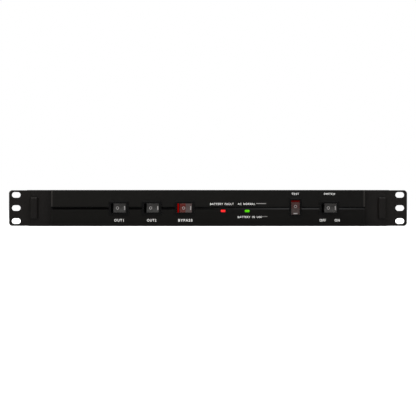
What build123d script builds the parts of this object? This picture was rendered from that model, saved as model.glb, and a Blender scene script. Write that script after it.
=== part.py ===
from build123d import *
import os
from math import cos, radians, sin

# A one-unit rack uninterruptible power supply. The origin is the centre of the rack slot pattern, on the
# rear face of the ears, where they meet the rack rails. X runs to the right, the front faces -Y, Z is up.
os.makedirs("parts", exist_ok=True)

# Rack ears and front plate, to the common 19-inch rack rules
rack_width = 482.6
ear_height = 43.1
ear_corner = 4.0
slot_columns = 465.1
slot_rise = 31.75
slot_rows = 3
slot_length = 10.6
slot_width = 6.8
plate_thickness = 2.5

# Moulded front bezel with its long groove
bezel_width = 380.2
panel_height = 43.66
bezel_depth = 8.0
bezel_wall = 2.5
bezel_rim = 2.2
bezel_end_bevel = 2.0
bezel_edge_bevel = 0.6
groove_top = 1.5
groove_height = 1.35
groove_depth = 6.0
groove_wall = 1.5
groove_slope_height = 2.0
groove_slope_depth = 0.9
boss_radius = 3.0
boss_inset = 10.1
boss_rise = 28.0
boss_count = 4

# Ear trims with their raised finger grips
trim_width = 24.7
trim_thickness = 0.6
trim_gap = 0.2
grip_face = 7.6
grip_slope = 2.5
grip_rise = 25.0
grip_proud = 3.6
grip_round = 0.5

# Folded chassis and cover
chassis_width = 438.0
chassis_depth = 420.0
sheet = 1.2
cover_sheet = 1.0
bend_radius = 2.0
side_lip = 15.0
bottom_lip = 5.0
cover_lip = 12.0
cover_rear_lip = 5.0
vent_length = 16.0
vent_width = 3.0
vent_pitch = 9.0
side_vents = 8
cover_vents = 14
vent_rows = 2
vent_row_pitch = 26.0

# Fasteners
screw_radius = 1.5
head_radius = 2.75
head_height = 1.8
thread_clearance = 0.05
hole_clearance = 0.2
countersink_depth = 1.3

# Rocker switches: sizes of the moulded flange, and what all of them share
switch_length = 23.9
switch_width = 17.0
test_switch_length = 22.4
test_switch_width = 15.0
flange_height = 1.6
flange_corner = 1.2
flange_bevel = 0.6
flange_lip = 1.3
switch_rim = 2.9
test_switch_rim = 2.3
housing_depth = 17.0
cavity_floor = 5.0
cutout_gap = 0.15
plate_gap = 1.6
tab_spacing = 10.0
tab_width = 2.6
tab_proud = 0.8
tab_length = 3.6
pivot_depth = 6.0
rocker_crown = 1.0
rocker_skirt = 1.0
rocker_end_gap = 0.25
rocker_side_gap = 0.2
rocker_tilt = 9.0
rocker_round = 0.6
rocker_valley = 5.0
hub_radius = 2.6
pin_radius = 1.4
pin_clearance = 0.06
pin_reach = 1.3
blade_width = 4.8
blade_thickness = 0.8
blade_length = 8.0
blade_spacing = 7.0
blade_count = 3

# Where the switches and the lamps stand along the panel
output1_x = -108.2
output2_x = -68.1
bypass_x = -28.3
test_x = 105.8
power_x = 146.7
switch_z = 0.0
test_z = 0.6
fault_lamp_x = 18.3
normal_lamp_x = 47.4
lamp_z = -3.6

# Rectangular signal lamps
lamp_width = 5.6
lamp_height = 2.8
lamp_corner = 1.1
lamp_proud = 0.4
lamp_body = 6.0
lamp_foot = 0.5
lamp_foot_depth = 1.0
lamp_gap = 0.1
lead_size = 0.5
lead_spacing = 2.54
lead_tail = 1.5
lead_hole_radius = 0.5

# Control board behind the front plate
control_board_x = 40.0
control_board_width = 96.0
control_board_height = 34.0
board_thickness = 1.6
spacer_length = 8.0
spacer_radius = 3.0
spacer_columns = 86.0
spacer_rise = 26.0
buzzer_radius = 6.0
buzzer_height = 7.0
buzzer_x = 72.0
header_width = 24.0
header_height = 6.0
header_depth = 8.0
header_z = 9.0
ribbon_thickness = 1.0
ribbon_width = 20.0
ribbon_bend = 3.0

# Batteries, their clamp and their wiring
battery_width = 94.0
battery_length = 151.0
battery_height = 34.0
battery_pitch = 102.0
battery_front = 42.0
battery_round = 2.0
battery_lid = 6.0
battery_lid_groove = 0.6
pad_thickness = 1.5
pad_width = 18.0
terminal_length = 6.3
terminal_width = 6.3
terminal_thickness = 0.8
terminal_inset = 18.0
terminal_height = 6.0
clamp_width = 30.0
clamp_sheet = 1.2
clamp_side_gap = 10.5
clamp_foot = 8.5
clamp_bend = 2.0
wire_radius = 1.8
wire_bend = 7.0
link_front_gap = 6.0
terminal_block_length = 22.0
terminal_block_width = 12.0
terminal_block_height = 14.0

# Main board and what stands on it
board_side_gap = 5.0
board_width = 204.0
board_battery_gap = 22.0
board_rear_gap = 1.8
standoff_length = 8.0
standoff_radius = 3.2
standoff_side = 7.0
standoff_end = 17.0
standoff_count = 3
sink_end_room = 36.0
sink_height = 27.0
sink_base = 3.0
sink_reach = 22.0
sink_fin = 1.2
sink_fins = 6
sink_spacing = 74.0
transistor_width = 10.0
transistor_tab = 1.3
transistor_tab_height = 15.5
transistor_body = 9.2
transistor_depth = 4.4
transistor_lift = 6.0
transistor_pitch = 24.0
transistor_end = 17.0
capacitor_radius = 11.0
capacitor_height = 27.0
capacitor_round = 1.5
capacitor_pitch = 26.0
capacitor_count = 3
relay_length = 19.0
relay_width = 15.4
relay_height = 15.0
relay_pitch = 20.0
relay_count = 4
choke_outer = 13.0
choke_inner = 6.0
choke_height = 12.0
choke_round = 2.5

# Mains transformer
transformer_behind = 60.0
core_width = 96.0
core_depth = 80.0
core_height = 28.0
core_leg = 16.0
coil_gap = 0.5
coil_overhang = 4.5
coil_round = 4.0
transformer_bolt_radius = 2.0
transformer_bolt_inset = 6.5
transformer_nut_height = 3.0
transformer_nut_radius = 4.0
spacer_tube_radius = 4.5

# Mains inlet and outlets in the rear wall
inlet_side = 29.0
inlet_flange_width = 31.0
inlet_flange_height = 24.5
inlet_body_width = 27.6
inlet_body_height = 20.0
inlet_body_depth = 22.0
socket_flange = 2.5
socket_corner = 2.0
inlet_mouth_width = 24.4
inlet_mouth_height = 16.6
inlet_mouth_depth = 19.0
mouth_corner = 4.5
pin_thickness = 2.0
pin_height = 4.0
pin_pitch = 7.0
pin_drop = 2.0
pin_recess = 3.0
pin_tail = 9.0
outlet_inlet_pitch = 42.0
outlet_pitch = 36.0
outlet_breaker_room = 30.0
outlet_flange_width = 32.5
outlet_flange_height = 26.0
outlet_body_width = 28.6
outlet_body_height = 21.6
outlet_body_depth = 24.0
outlet_groove = 2.6
outlet_groove_depth = 17.0
contact_slot_width = 2.4
contact_slot_height = 4.6
rear_fit = 0.2
latch_proud = 0.9
latch_height = 6.0
latch_length = 4.0

# Circuit breaker
breaker_side = 227.0
breaker_width = 14.0
breaker_height = 24.0
breaker_depth = 26.0
breaker_neck_radius = 5.6
breaker_neck_proud = 5.0
breaker_nut_radius = 8.2
breaker_nut_height = 3.0
reset_radius = 3.3
reset_clearance = 0.1
reset_proud = 2.5
reset_travel = 4.0
reset_collar = 4.2
reset_collar_height = 2.0
reset_stem = 6.0
reset_round = 0.6

# Cooling fan
fan_side = 159.0
fan_size = 40.0
fan_depth = 20.0
fan_bore_radius = 18.8
fan_corner = 3.0
fan_screw_pitch = 32.0
fan_wall = 2.0
motor_radius = 10.5
motor_plate = 2.0
strut_width = 2.4
strut_count = 4
rotor_hub_radius = 10.5
rotor_tip_radius = 18.2
rotor_depth = 14.0
rotor_gap = 1.2
hub_round = 1.5
blade_count_fan = 7
blade_chord = 12.0
blade_pitch_angle = 40.0
fan_blade_thickness = 1.2
shaft_radius = 1.5
bearing_wall = 1.6
bearing_clearance = 0.05
guard_thickness = 1.0
guard_ring_width = 1.5
guard_radii = (18.0, 12.5, 7.0)
guard_arm_width = 1.8
guard_eye_radius = 3.4

# Data ports and the earth stud
jack_side = 91.0
jack_width = 31.0
jack_height = 13.4
jack_depth = 18.0
jack_mouth_width = 11.8
jack_mouth_height = 7.0
jack_mouth_depth = 14.0
jack_mouth_z = -0.5
jack_latch_width = 6.2
jack_latch_height = 2.2
jack_pitch = 14.6
usb_side = 53.0
usb_width = 12.0
usb_height = 11.0
usb_depth = 16.0
usb_mouth_width = 8.6
usb_mouth_height = 7.8
usb_mouth_depth = 11.0
usb_corner = 1.6
usb_tongue_width = 5.6
usb_tongue_height = 3.0
port_fit = 0.25
earth_side = 21.0
earth_z = 0.0
stud_radius = 2.5
stud_proud = 14.0
stud_flange = 4.5
stud_flange_height = 2.0
nut_radius = 4.6
nut_height = 4.0

# Places worked out from the sizes above
panel_front = -(plate_thickness + bezel_depth)
floor_z = -panel_height / 2 + sheet
lid_z = panel_height / 2 - cover_sheet
boss_columns = (bezel_width - 2 * boss_inset) / (boss_count - 1)
groove_z = groove_top - groove_height / 2
slope_top = groove_top - groove_height
slope_low = slope_top - groove_slope_height
trim_inner = bezel_width / 2 + trim_gap
trim_outer = trim_inner + trim_width
tray_height = lid_z + panel_height / 2
inner_rear = chassis_depth - sheet
fan_z = (floor_z + lid_z) / 2
board_z = floor_z + standoff_length
board_top = board_z + board_thickness
board_front = battery_front + battery_length + board_battery_gap
board_rear = inner_rear - board_rear_gap
board_left = -chassis_width / 2 + sheet + board_side_gap
board_right = board_left + board_width
board_x = (board_left + board_right) / 2
board_y = (board_front + board_rear) / 2
board_length = board_rear - board_front
standoff_columns = board_width - 2 * standoff_side
standoff_rows = (board_length - 2 * standoff_end) / (standoff_count - 1)
sink_length = board_length - 2 * sink_end_room
transistor_count = int((sink_length - 2 * transistor_end) // transistor_pitch)
clamp_span = chassis_width - 2 * clamp_side_gap
battery_row = clamp_span - 2 * clamp_sheet - 2 * terminal_length
battery_count = int((battery_row - battery_width) // battery_pitch) + 1
battery_bottom = floor_z + pad_thickness
battery_top = battery_bottom + battery_height
battery_middle_y = battery_front + battery_length / 2
battery_places = [(n - (battery_count - 1) / 2) * battery_pitch for n in range(battery_count)]
terminal_block_x = board_x + board_width / 4
terminal_block_y = board_front + header_depth
ribbon_end_x = board_right - header_width
ribbon_landing = board_front + header_depth
ribbon_rise = (battery_top + clamp_sheet + lid_z) / 2
header_back = spacer_length + board_thickness + header_depth
transformer_x = (board_right + chassis_width / 2 - sheet) / 2
transformer_y = board_front + transformer_behind
core_low = (floor_z + lid_z) / 2 - core_height / 2
window_width = (core_width - 4 * core_leg) / 2
window_depth = core_depth - 2 * core_leg
bolt_columns = core_width - 2 * transformer_bolt_inset
bolt_rows = core_depth - 2 * transformer_bolt_inset
inlet_x = chassis_width / 2 - inlet_side
outlet_first_x = inlet_x - outlet_inlet_pitch
breaker_x = breaker_side - chassis_width / 2
fan_x = fan_side - chassis_width / 2
jack_x = jack_side - chassis_width / 2
usb_x = usb_side - chassis_width / 2
earth_x = earth_side - chassis_width / 2
outlet_row = outlet_first_x - breaker_x - outlet_breaker_room
outlet_count = int(outlet_row // outlet_pitch) + 1
cover_width = chassis_width + 2 * cover_sheet
cover_screw_z = lid_z - cover_lip / 2
cover_screw_places = [
    (battery_front, cover_screw_z),
    (battery_front + battery_length, cover_screw_z),
    (chassis_depth - battery_front, cover_screw_z),
]
switch_list = [
    ("output1", output1_x, switch_z, False, switch_length, switch_width, switch_rim),
    ("output2", output2_x, switch_z, False, switch_length, switch_width, switch_rim),
    ("bypass", bypass_x, switch_z, False, switch_length, switch_width, switch_rim),
    ("test", test_x, test_z, True, test_switch_length, test_switch_width, test_switch_rim),
    ("power", power_x, switch_z, False, switch_length, switch_width, switch_rim),
]


def upright(y):
    """A sketch plane parallel to the panel at depth y: X right, Z up, and a positive extrude goes forward."""
    return Plane(origin=(0, y, 0), x_dir=(1, 0, 0), z_dir=(0, -1, 0))


def switch_plane(x, z, turned):
    """The plane of a switch on the bezel's face. Its x runs from the O end to the I end of the rocker."""
    along = (0, 0, -1) if turned else (1, 0, 0)
    return Plane(origin=(x, panel_front, z), x_dir=along, z_dir=(0, -1, 0))


def switch_holes(gap):
    """Sketches the openings that the five switch bodies pass through, with this much room all round."""
    for _, x, z, turned, length, width, _ in switch_list:
        body = (length - 2 * flange_lip + 2 * gap, width - 2 * flange_lip + 2 * gap)
        with Locations((x, z)):
            Rectangle(*(reversed(body) if turned else body), mode=Mode.SUBTRACT)


# The front plate: one flat sheet with the rack ears, the slots and the openings behind the bezel
with BuildPart() as front_plate:
    with BuildSketch(upright(0)):
        RectangleRounded(rack_width, ear_height, ear_corner)
        with GridLocations(slot_columns, slot_rise / (slot_rows - 1), 2, slot_rows):
            SlotOverall(slot_length, slot_width, mode=Mode.SUBTRACT)
        switch_holes(plate_gap)
        with Locations((fault_lamp_x, lamp_z), (normal_lamp_x, lamp_z)):
            Rectangle(lamp_width + 2 * plate_gap, lamp_height + 2 * plate_gap, mode=Mode.SUBTRACT)
        with GridLocations(boss_columns, boss_rise, boss_count, 2):
            Circle(screw_radius + hole_clearance, mode=Mode.SUBTRACT)
        with Locations((control_board_x, 0)):
            with GridLocations(spacer_columns, spacer_rise, 2, 2):
                Circle(screw_radius + hole_clearance, mode=Mode.SUBTRACT)
    extrude(amount=plate_thickness)
    with Locations(upright(-plate_thickness)):
        with GridLocations(chassis_width - side_lip, boss_rise, 2, 2):
            CounterSinkHole(screw_radius + hole_clearance, head_radius + hole_clearance)
front_plate.part.label = "front_plate"
export_step(front_plate.part, "parts/front_plate.step")

# The bezel: a moulded shell, open at the back, with bevelled edges and a groove along its middle
with BuildPart() as front_bezel:
    with BuildSketch(upright(-plate_thickness)):
        Rectangle(bezel_width, panel_height)
    extrude(amount=bezel_depth)
    face_edges = front_bezel.faces().sort_by(Axis.Y)[0].edges()
    chamfer(face_edges.filter_by(Axis.Z), bezel_end_bevel)
    chamfer(front_bezel.faces().sort_by(Axis.Y)[0].edges().filter_by(Axis.X), bezel_edge_bevel)
    with BuildSketch(upright(-plate_thickness)):
        Rectangle(bezel_width - 2 * bezel_rim, panel_height - 2 * bezel_rim)
    extrude(amount=bezel_depth - bezel_wall, mode=Mode.SUBTRACT)
    with BuildSketch(upright(panel_front + bezel_wall)):
        with Locations((0, groove_z)):
            Rectangle(bezel_width - 2 * bezel_rim, groove_height + 2 * groove_wall)
    extrude(amount=-(groove_depth + groove_wall - bezel_wall))
    with BuildSketch(upright(panel_front + bezel_wall)):
        with GridLocations(boss_columns, boss_rise, boss_count, 2):
            Circle(boss_radius)
    extrude(amount=-(bezel_depth - bezel_wall))
    with BuildSketch(upright(panel_front)):
        with Locations((0, groove_z)):
            Rectangle(bezel_width, groove_height)
    extrude(amount=-groove_depth, mode=Mode.SUBTRACT)
    with BuildSketch(Plane.YZ):
        with BuildLine():
            Polyline(
                (panel_front, slope_low),
                (panel_front + groove_slope_depth, slope_top),
                (panel_front, slope_top),
                close=True,
            )
        make_face()
    extrude(amount=bezel_width / 2, both=True, mode=Mode.SUBTRACT)
    with BuildSketch(upright(-plate_thickness)):
        for _, x, z, turned, length, width, _ in switch_list:
            body = (length - 2 * flange_lip + 2 * cutout_gap, width - 2 * flange_lip + 2 * cutout_gap)
            with Locations((x, z)):
                Rectangle(*(reversed(body) if turned else body))
        with Locations((fault_lamp_x, lamp_z), (normal_lamp_x, lamp_z)):
            window_corner = lamp_corner + lamp_gap
            RectangleRounded(lamp_width + 2 * lamp_gap, lamp_height + 2 * lamp_gap, window_corner)
    extrude(amount=bezel_depth, mode=Mode.SUBTRACT)
    foot_back = panel_front + bezel_wall
    with BuildSketch(upright(foot_back)):
        with Locations((fault_lamp_x, lamp_z), (normal_lamp_x, lamp_z)):
            foot_room = 2 * (lamp_foot + lamp_gap)
            Rectangle(lamp_width + foot_room, lamp_height + foot_room)
    extrude(amount=-(bezel_depth - bezel_wall), mode=Mode.SUBTRACT)
    with BuildSketch(upright(-plate_thickness)):
        with GridLocations(boss_columns, boss_rise, boss_count, 2):
            Circle(screw_radius + thread_clearance)
    extrude(amount=bezel_depth - bezel_wall, mode=Mode.SUBTRACT)
front_bezel.part.label = "front_bezel"
export_step(front_bezel.part, "parts/front_bezel.step")

# Screws that hold the bezel from behind the front plate
with BuildPart() as bezel_screws:
    with BuildSketch(upright(0)):
        with GridLocations(boss_columns, boss_rise, boss_count, 2):
            Circle(head_radius)
    extrude(amount=-head_height)
    with BuildSketch(upright(0)):
        with GridLocations(boss_columns, boss_rise, boss_count, 2):
            Circle(screw_radius)
    extrude(amount=plate_thickness + bezel_depth - bezel_wall - hole_clearance)
bezel_screws.part.label = "bezel_screws"
export_step(bezel_screws.part, "parts/bezel_screws.step")


def make_ear_trim(side, node):
    """The thin moulded trim on one ear. Its raised grip has a sloped inner side that a finger pulls on."""
    grip_inner = trim_outer - grip_face - grip_slope
    with BuildPart() as ear_trim:
        with BuildSketch(upright(-plate_thickness)):
            with Locations((side * (trim_inner + trim_outer) / 2, 0)):
                Rectangle(trim_width, ear_height)
        extrude(amount=trim_thickness)
        with BuildSketch(Plane.XY.offset(-grip_rise / 2)):
            with BuildLine():
                Polyline(
                    (side * trim_outer, -plate_thickness),
                    (side * trim_outer, -plate_thickness - grip_proud),
                    (side * (trim_outer - grip_face), -plate_thickness - grip_proud),
                    (side * grip_inner, -plate_thickness),
                    close=True,
                )
            make_face()
        extrude(amount=grip_rise)
        crown = ear_trim.faces().sort_by(Axis.Y)[0]
        fillet(crown.edges(), grip_round)
    ear_trim.part.label = node
    export_step(ear_trim.part, f"parts/{node}.step")


make_ear_trim(-1, "ear_trim_left")
make_ear_trim(1, "ear_trim_right")


def make_housing(node, plane, length, width, rim):
    """A switch housing: flange on the bezel, body behind it, catches on the long sides and pin holes."""
    body_length = length - 2 * flange_lip
    body_width = width - 2 * flange_lip
    with BuildPart() as switch_housing:
        with BuildSketch(plane):
            RectangleRounded(length, width, flange_corner)
        extrude(amount=flange_height)
        chamfer(switch_housing.faces().sort_by(Axis.Y)[0].edges(), flange_bevel)
        with BuildSketch(plane):
            Rectangle(body_length, body_width)
        extrude(amount=-housing_depth)
        catch_top = -(bezel_wall + cutout_gap)
        for edge in (-1, 1):
            for place in (-1, 1):
                catch = Plane(
                    origin=plane.from_local_coords((place * tab_spacing / 2, edge * body_width / 2, 0)),
                    x_dir=plane.y_dir * edge,
                    z_dir=plane.x_dir * edge,
                )
                with BuildSketch(catch):
                    with BuildLine():
                        Polyline(
                            (0, catch_top),
                            (tab_proud, catch_top),
                            (0, catch_top - tab_length),
                            close=True,
                        )
                    make_face()
                extrude(amount=tab_width / 2, both=True)
        with BuildSketch(plane.offset(flange_height)):
            Rectangle(length - 2 * rim, width - 2 * rim)
        extrude(amount=-(flange_height + housing_depth - cavity_floor), mode=Mode.SUBTRACT)
        pivot = plane.from_local_coords((0, 0, flange_height - pivot_depth))
        with BuildSketch(Plane(origin=pivot, x_dir=plane.x_dir, z_dir=plane.y_dir)):
            Circle(pin_radius + pin_clearance)
        extrude(amount=width / 2, both=True, mode=Mode.SUBTRACT)
        with BuildSketch(plane.offset(-housing_depth)):
            with GridLocations(blade_spacing, 1, blade_count, 1):
                Rectangle(blade_thickness, blade_width)
        extrude(amount=cavity_floor / 2, mode=Mode.SUBTRACT)
    switch_housing.part.label = node
    export_step(switch_housing.part, f"parts/{node}.step")


def make_rocker(node, plane, length, width, rim):
    """A rocker with its I end pressed. Both halves of the face rise from a shallow valley to the ends."""
    tilt = radians(rocker_tilt)
    reach = length / 2 - rim - rocker_end_gap
    top = pivot_depth + rocker_crown
    pivot = plane.from_local_coords((0, 0, flange_height - pivot_depth))
    pressed = plane.x_dir * cos(tilt) - plane.z_dir * sin(tilt)
    profile = Plane(origin=pivot, x_dir=pressed, z_dir=plane.y_dir * -1)
    valley = (0, top / cos(tilt))
    crest = (reach * cos(tilt) - top * sin(tilt), reach * sin(tilt) + top * cos(tilt))
    skirt = (reach * cos(tilt) + rocker_skirt * sin(tilt), reach * sin(tilt) - rocker_skirt * cos(tilt))
    rocker_width = width - 2 * rim - 2 * rocker_side_gap
    with BuildPart() as rocker:
        with BuildSketch(profile):
            with BuildLine():
                Polyline(valley, crest, skirt, (0, skirt[1]))
                mirror(about=Plane.YZ)
            make_face()
            corners = [v for v in vertices() if v.Y > skirt[1] + rocker_crown and abs(v.X) > reach / 2]
            fillet(corners, rocker_round)
            fillet([v for v in vertices() if abs(v.X) < rocker_round and v.Y > pivot_depth], rocker_valley)
            Circle(hub_radius)
        extrude(amount=rocker_width / 2, both=True)
        with BuildSketch(profile):
            Circle(pin_radius)
        extrude(amount=rocker_width / 2 + pin_reach, both=True)
    rocker.part.label = node
    export_step(rocker.part, f"parts/{node}.step")


for name, x, z, turned, length, width, rim in switch_list:
    make_housing(f"{name}_switch_housing", switch_plane(x, z, turned), length, width, rim)
    make_rocker(f"{name}_rocker", switch_plane(x, z, turned), length, width, rim)

# Plated blades behind the switches
with BuildPart() as switch_blades:
    for _, x, z, turned, _, _, _ in switch_list:
        with BuildSketch(switch_plane(x, z, turned).offset(cavity_floor / 2 - housing_depth)):
            with GridLocations(blade_spacing, 1, blade_count, 1):
                Rectangle(blade_thickness, blade_width)
        extrude(amount=-(cavity_floor / 2 + blade_length))
switch_blades.part.label = "switch_blades"
export_step(switch_blades.part, "parts/switch_blades.step")


def make_lamp(node, x):
    """A rectangular signal lamp: lens through the bezel, foot behind it, two leads into the board."""
    with BuildPart() as signal_lamp:
        with BuildSketch(upright(panel_front + lamp_body)):
            with Locations((x, lamp_z)):
                RectangleRounded(lamp_width, lamp_height, lamp_corner)
        extrude(amount=lamp_body + lamp_proud)
        fillet(signal_lamp.faces().sort_by(Axis.Y)[0].edges(), lamp_proud / 2)
        with BuildSketch(upright(panel_front + bezel_wall + lamp_foot_depth + lamp_gap)):
            with Locations((x, lamp_z)):
                Rectangle(lamp_width + 2 * lamp_foot, lamp_height + 2 * lamp_foot)
        extrude(amount=lamp_foot_depth)
        with BuildSketch(upright(panel_front + lamp_body)):
            with Locations((x, lamp_z)):
                with GridLocations(lead_spacing, 1, 2, 1):
                    Rectangle(lead_size, lead_size)
        extrude(amount=-(spacer_length + board_thickness + lead_tail - panel_front - lamp_body))
    signal_lamp.part.label = node
    export_step(signal_lamp.part, f"parts/{node}.step")


make_lamp("fault_lamp", fault_lamp_x)
make_lamp("normal_lamp", normal_lamp_x)

# The control board stands on spacers behind the front plate
with BuildPart() as control_board:
    with BuildSketch(upright(spacer_length)):
        with Locations((control_board_x, 0)):
            Rectangle(control_board_width, control_board_height)
            with GridLocations(spacer_columns, spacer_rise, 2, 2):
                Circle(screw_radius + hole_clearance, mode=Mode.SUBTRACT)
        with Locations((fault_lamp_x, lamp_z), (normal_lamp_x, lamp_z)):
            with GridLocations(lead_spacing, 1, 2, 1):
                Circle(lead_hole_radius, mode=Mode.SUBTRACT)
    extrude(amount=-board_thickness)
control_board.part.label = "control_board"
export_step(control_board.part, "parts/control_board.step")

with BuildPart() as buzzer:
    with BuildSketch(upright(spacer_length + board_thickness)):
        with Locations((buzzer_x, 0)):
            Circle(buzzer_radius)
    extrude(amount=-buzzer_height)
    with BuildSketch(upright(spacer_length + board_thickness + buzzer_height)):
        with Locations((buzzer_x, 0)):
            Circle(screw_radius)
    extrude(amount=buzzer_height / 2, mode=Mode.SUBTRACT)
buzzer.part.label = "buzzer"
export_step(buzzer.part, "parts/buzzer.step")

# The ribbon cable runs from the control board over the batteries and down to the main board
with BuildPart() as ribbon_cable:
    front_run = header_back + header_height
    with BuildSketch(Plane.YZ.offset(control_board_x - ribbon_width / 2)):
        with BuildLine() as front_line:
            FilletPolyline(
                (header_back, header_z),
                (front_run, header_z),
                (front_run, ribbon_rise),
                (battery_middle_y, ribbon_rise),
                radius=ribbon_bend,
            )
        trace(line_width=ribbon_thickness)
    extrude(amount=ribbon_width)
    with BuildSketch(Plane.YZ.offset(ribbon_end_x - ribbon_width / 2)):
        with BuildLine() as rear_line:
            FilletPolyline(
                (battery_middle_y, ribbon_rise),
                (ribbon_landing, ribbon_rise),
                (ribbon_landing, board_top + header_depth),
                radius=ribbon_bend,
            )
        trace(line_width=ribbon_thickness)
    extrude(amount=ribbon_width)
    with BuildSketch(Plane.XY.offset(ribbon_rise - ribbon_thickness / 2)):
        with BuildLine():
            Polyline(
                (control_board_x + ribbon_width / 2, battery_middle_y),
                (control_board_x + ribbon_width / 2, battery_middle_y + ribbon_width),
                (ribbon_end_x - ribbon_width / 2, battery_middle_y + ribbon_width),
                (ribbon_end_x - ribbon_width / 2, battery_middle_y),
                close=True,
            )
        make_face()
    extrude(amount=ribbon_thickness)
ribbon_cable.part.label = "ribbon_cable"
export_step(ribbon_cable.part, "parts/ribbon_cable.step")

# Countersunk screws that hold the front plate to the lips of the tray, under the ear trims
with BuildPart() as plate_screws:
    with Locations(upright(-plate_thickness)):
        with GridLocations(chassis_width - side_lip, boss_rise, 2, 2):
            Cone(
                screw_radius,
                head_radius,
                countersink_depth,
                align=(Align.CENTER, Align.CENTER, Align.MAX),
            )
            Cylinder(
                screw_radius,
                plate_thickness + sheet + head_height,
                align=(Align.CENTER, Align.CENTER, Align.MAX),
            )
plate_screws.part.label = "plate_screws"
export_step(plate_screws.part, "parts/plate_screws.step")

# The tray: one folded sheet with floor, side walls, rear wall and front lips
with BuildPart() as chassis_tray:
    with BuildSketch(Plane.XY.offset(-panel_height / 2)):
        with Locations((0, chassis_depth / 2)):
            Rectangle(chassis_width, chassis_depth)
    extrude(amount=tray_height)
    floor_edges = chassis_tray.faces().sort_by(Axis.Z)[0].edges()
    fillet(chassis_tray.edges().filter_by(Axis.Z) + floor_edges, bend_radius)
    offset(amount=-sheet, openings=chassis_tray.faces().sort_by(Axis.Z)[-1])
    with BuildSketch(upright(0)):
        with Locations((0, bottom_lip - panel_height / 2)):
            Rectangle(chassis_width - 2 * side_lip, panel_height, align=(Align.CENTER, Align.MIN))
    extrude(amount=-bend_radius, mode=Mode.SUBTRACT)
    with BuildSketch(upright(0)):
        with GridLocations(chassis_width - side_lip, boss_rise, 2, 2):
            Circle(screw_radius + thread_clearance)
    extrude(amount=-bend_radius, mode=Mode.SUBTRACT)
    with BuildSketch(Plane.YZ):
        with Locations((chassis_depth - side_vents * vent_pitch, 0)):
            with GridLocations(vent_pitch, 1, side_vents, 1):
                SlotOverall(vent_length, vent_width, rotation=90)
    extrude(amount=chassis_width, both=True, mode=Mode.SUBTRACT)
    with BuildSketch(upright(chassis_depth)):
        with Locations((inlet_x, 0)):
            Rectangle(inlet_body_width + 2 * rear_fit, inlet_body_height + 2 * rear_fit)
        for number in range(outlet_count):
            with Locations((outlet_first_x - number * outlet_pitch, 0)):
                Rectangle(outlet_body_width + 2 * rear_fit, outlet_body_height + 2 * rear_fit)
        with Locations((breaker_x, 0)):
            Circle(breaker_neck_radius + rear_fit)
        with Locations((fan_x, fan_z)):
            Circle(fan_bore_radius)
            with GridLocations(fan_screw_pitch, fan_screw_pitch, 2, 2):
                Circle(screw_radius + hole_clearance)
        with Locations((jack_x, board_top)):
            Rectangle(jack_width + 2 * port_fit, jack_height + port_fit, align=(Align.CENTER, Align.MIN))
        with Locations((usb_x, board_top)):
            Rectangle(usb_width + 2 * port_fit, usb_height + port_fit, align=(Align.CENTER, Align.MIN))
        with Locations((earth_x, earth_z)):
            Circle(stud_radius + thread_clearance)
    extrude(amount=bend_radius, mode=Mode.SUBTRACT)
    with BuildSketch(Plane.YZ):
        with Locations(*cover_screw_places):
            Circle(screw_radius + thread_clearance)
    extrude(amount=chassis_width, both=True, mode=Mode.SUBTRACT)
chassis_tray.part.label = "chassis_tray"
export_step(chassis_tray.part, "parts/chassis_tray.step")

# The cover: a folded sheet that drops over the side walls, with vents over the electronics
with BuildPart() as top_cover:
    with BuildSketch(Plane.XY.offset(panel_height / 2)):
        with Locations((0, (chassis_depth + cover_sheet) / 2)):
            Rectangle(cover_width, chassis_depth + cover_sheet)
    extrude(amount=-cover_lip)
    folds = top_cover.faces().sort_by(Axis.Z)[-1].edges().sort_by(Axis.Y)[1:]
    fillet(folds + top_cover.edges().filter_by(Axis.Z).group_by(Axis.Y)[-1], cover_sheet)
    with BuildSketch(Plane.XY.offset(lid_z)):
        with Locations((0, chassis_depth / 2)):
            Rectangle(chassis_width, chassis_depth)
    extrude(amount=-cover_lip, mode=Mode.SUBTRACT)
    with BuildSketch(upright(chassis_depth + cover_sheet)):
        with Locations((0, panel_height / 2 - cover_rear_lip)):
            Rectangle(chassis_width, panel_height, align=(Align.CENTER, Align.MAX))
        with Locations((fan_x, fan_z)):
            Rectangle(fan_size, fan_size)
    extrude(amount=cover_sheet, mode=Mode.SUBTRACT)
    with BuildSketch(Plane.XY.offset(panel_height / 2)):
        with Locations((board_x, board_y)):
            with GridLocations(vent_pitch, vent_row_pitch, cover_vents, vent_rows):
                SlotOverall(vent_length, vent_width, rotation=90)
        with Locations((transformer_x, transformer_y)):
            with GridLocations(vent_pitch, vent_row_pitch, cover_vents // 2, vent_rows):
                SlotOverall(vent_length, vent_width, rotation=90)
    extrude(amount=-cover_sheet, mode=Mode.SUBTRACT)
    with BuildSketch(Plane.YZ):
        with Locations(*cover_screw_places):
            Circle(screw_radius + hole_clearance)
    extrude(amount=cover_width, both=True, mode=Mode.SUBTRACT)
top_cover.part.label = "top_cover"
export_step(top_cover.part, "parts/top_cover.step")

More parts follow.
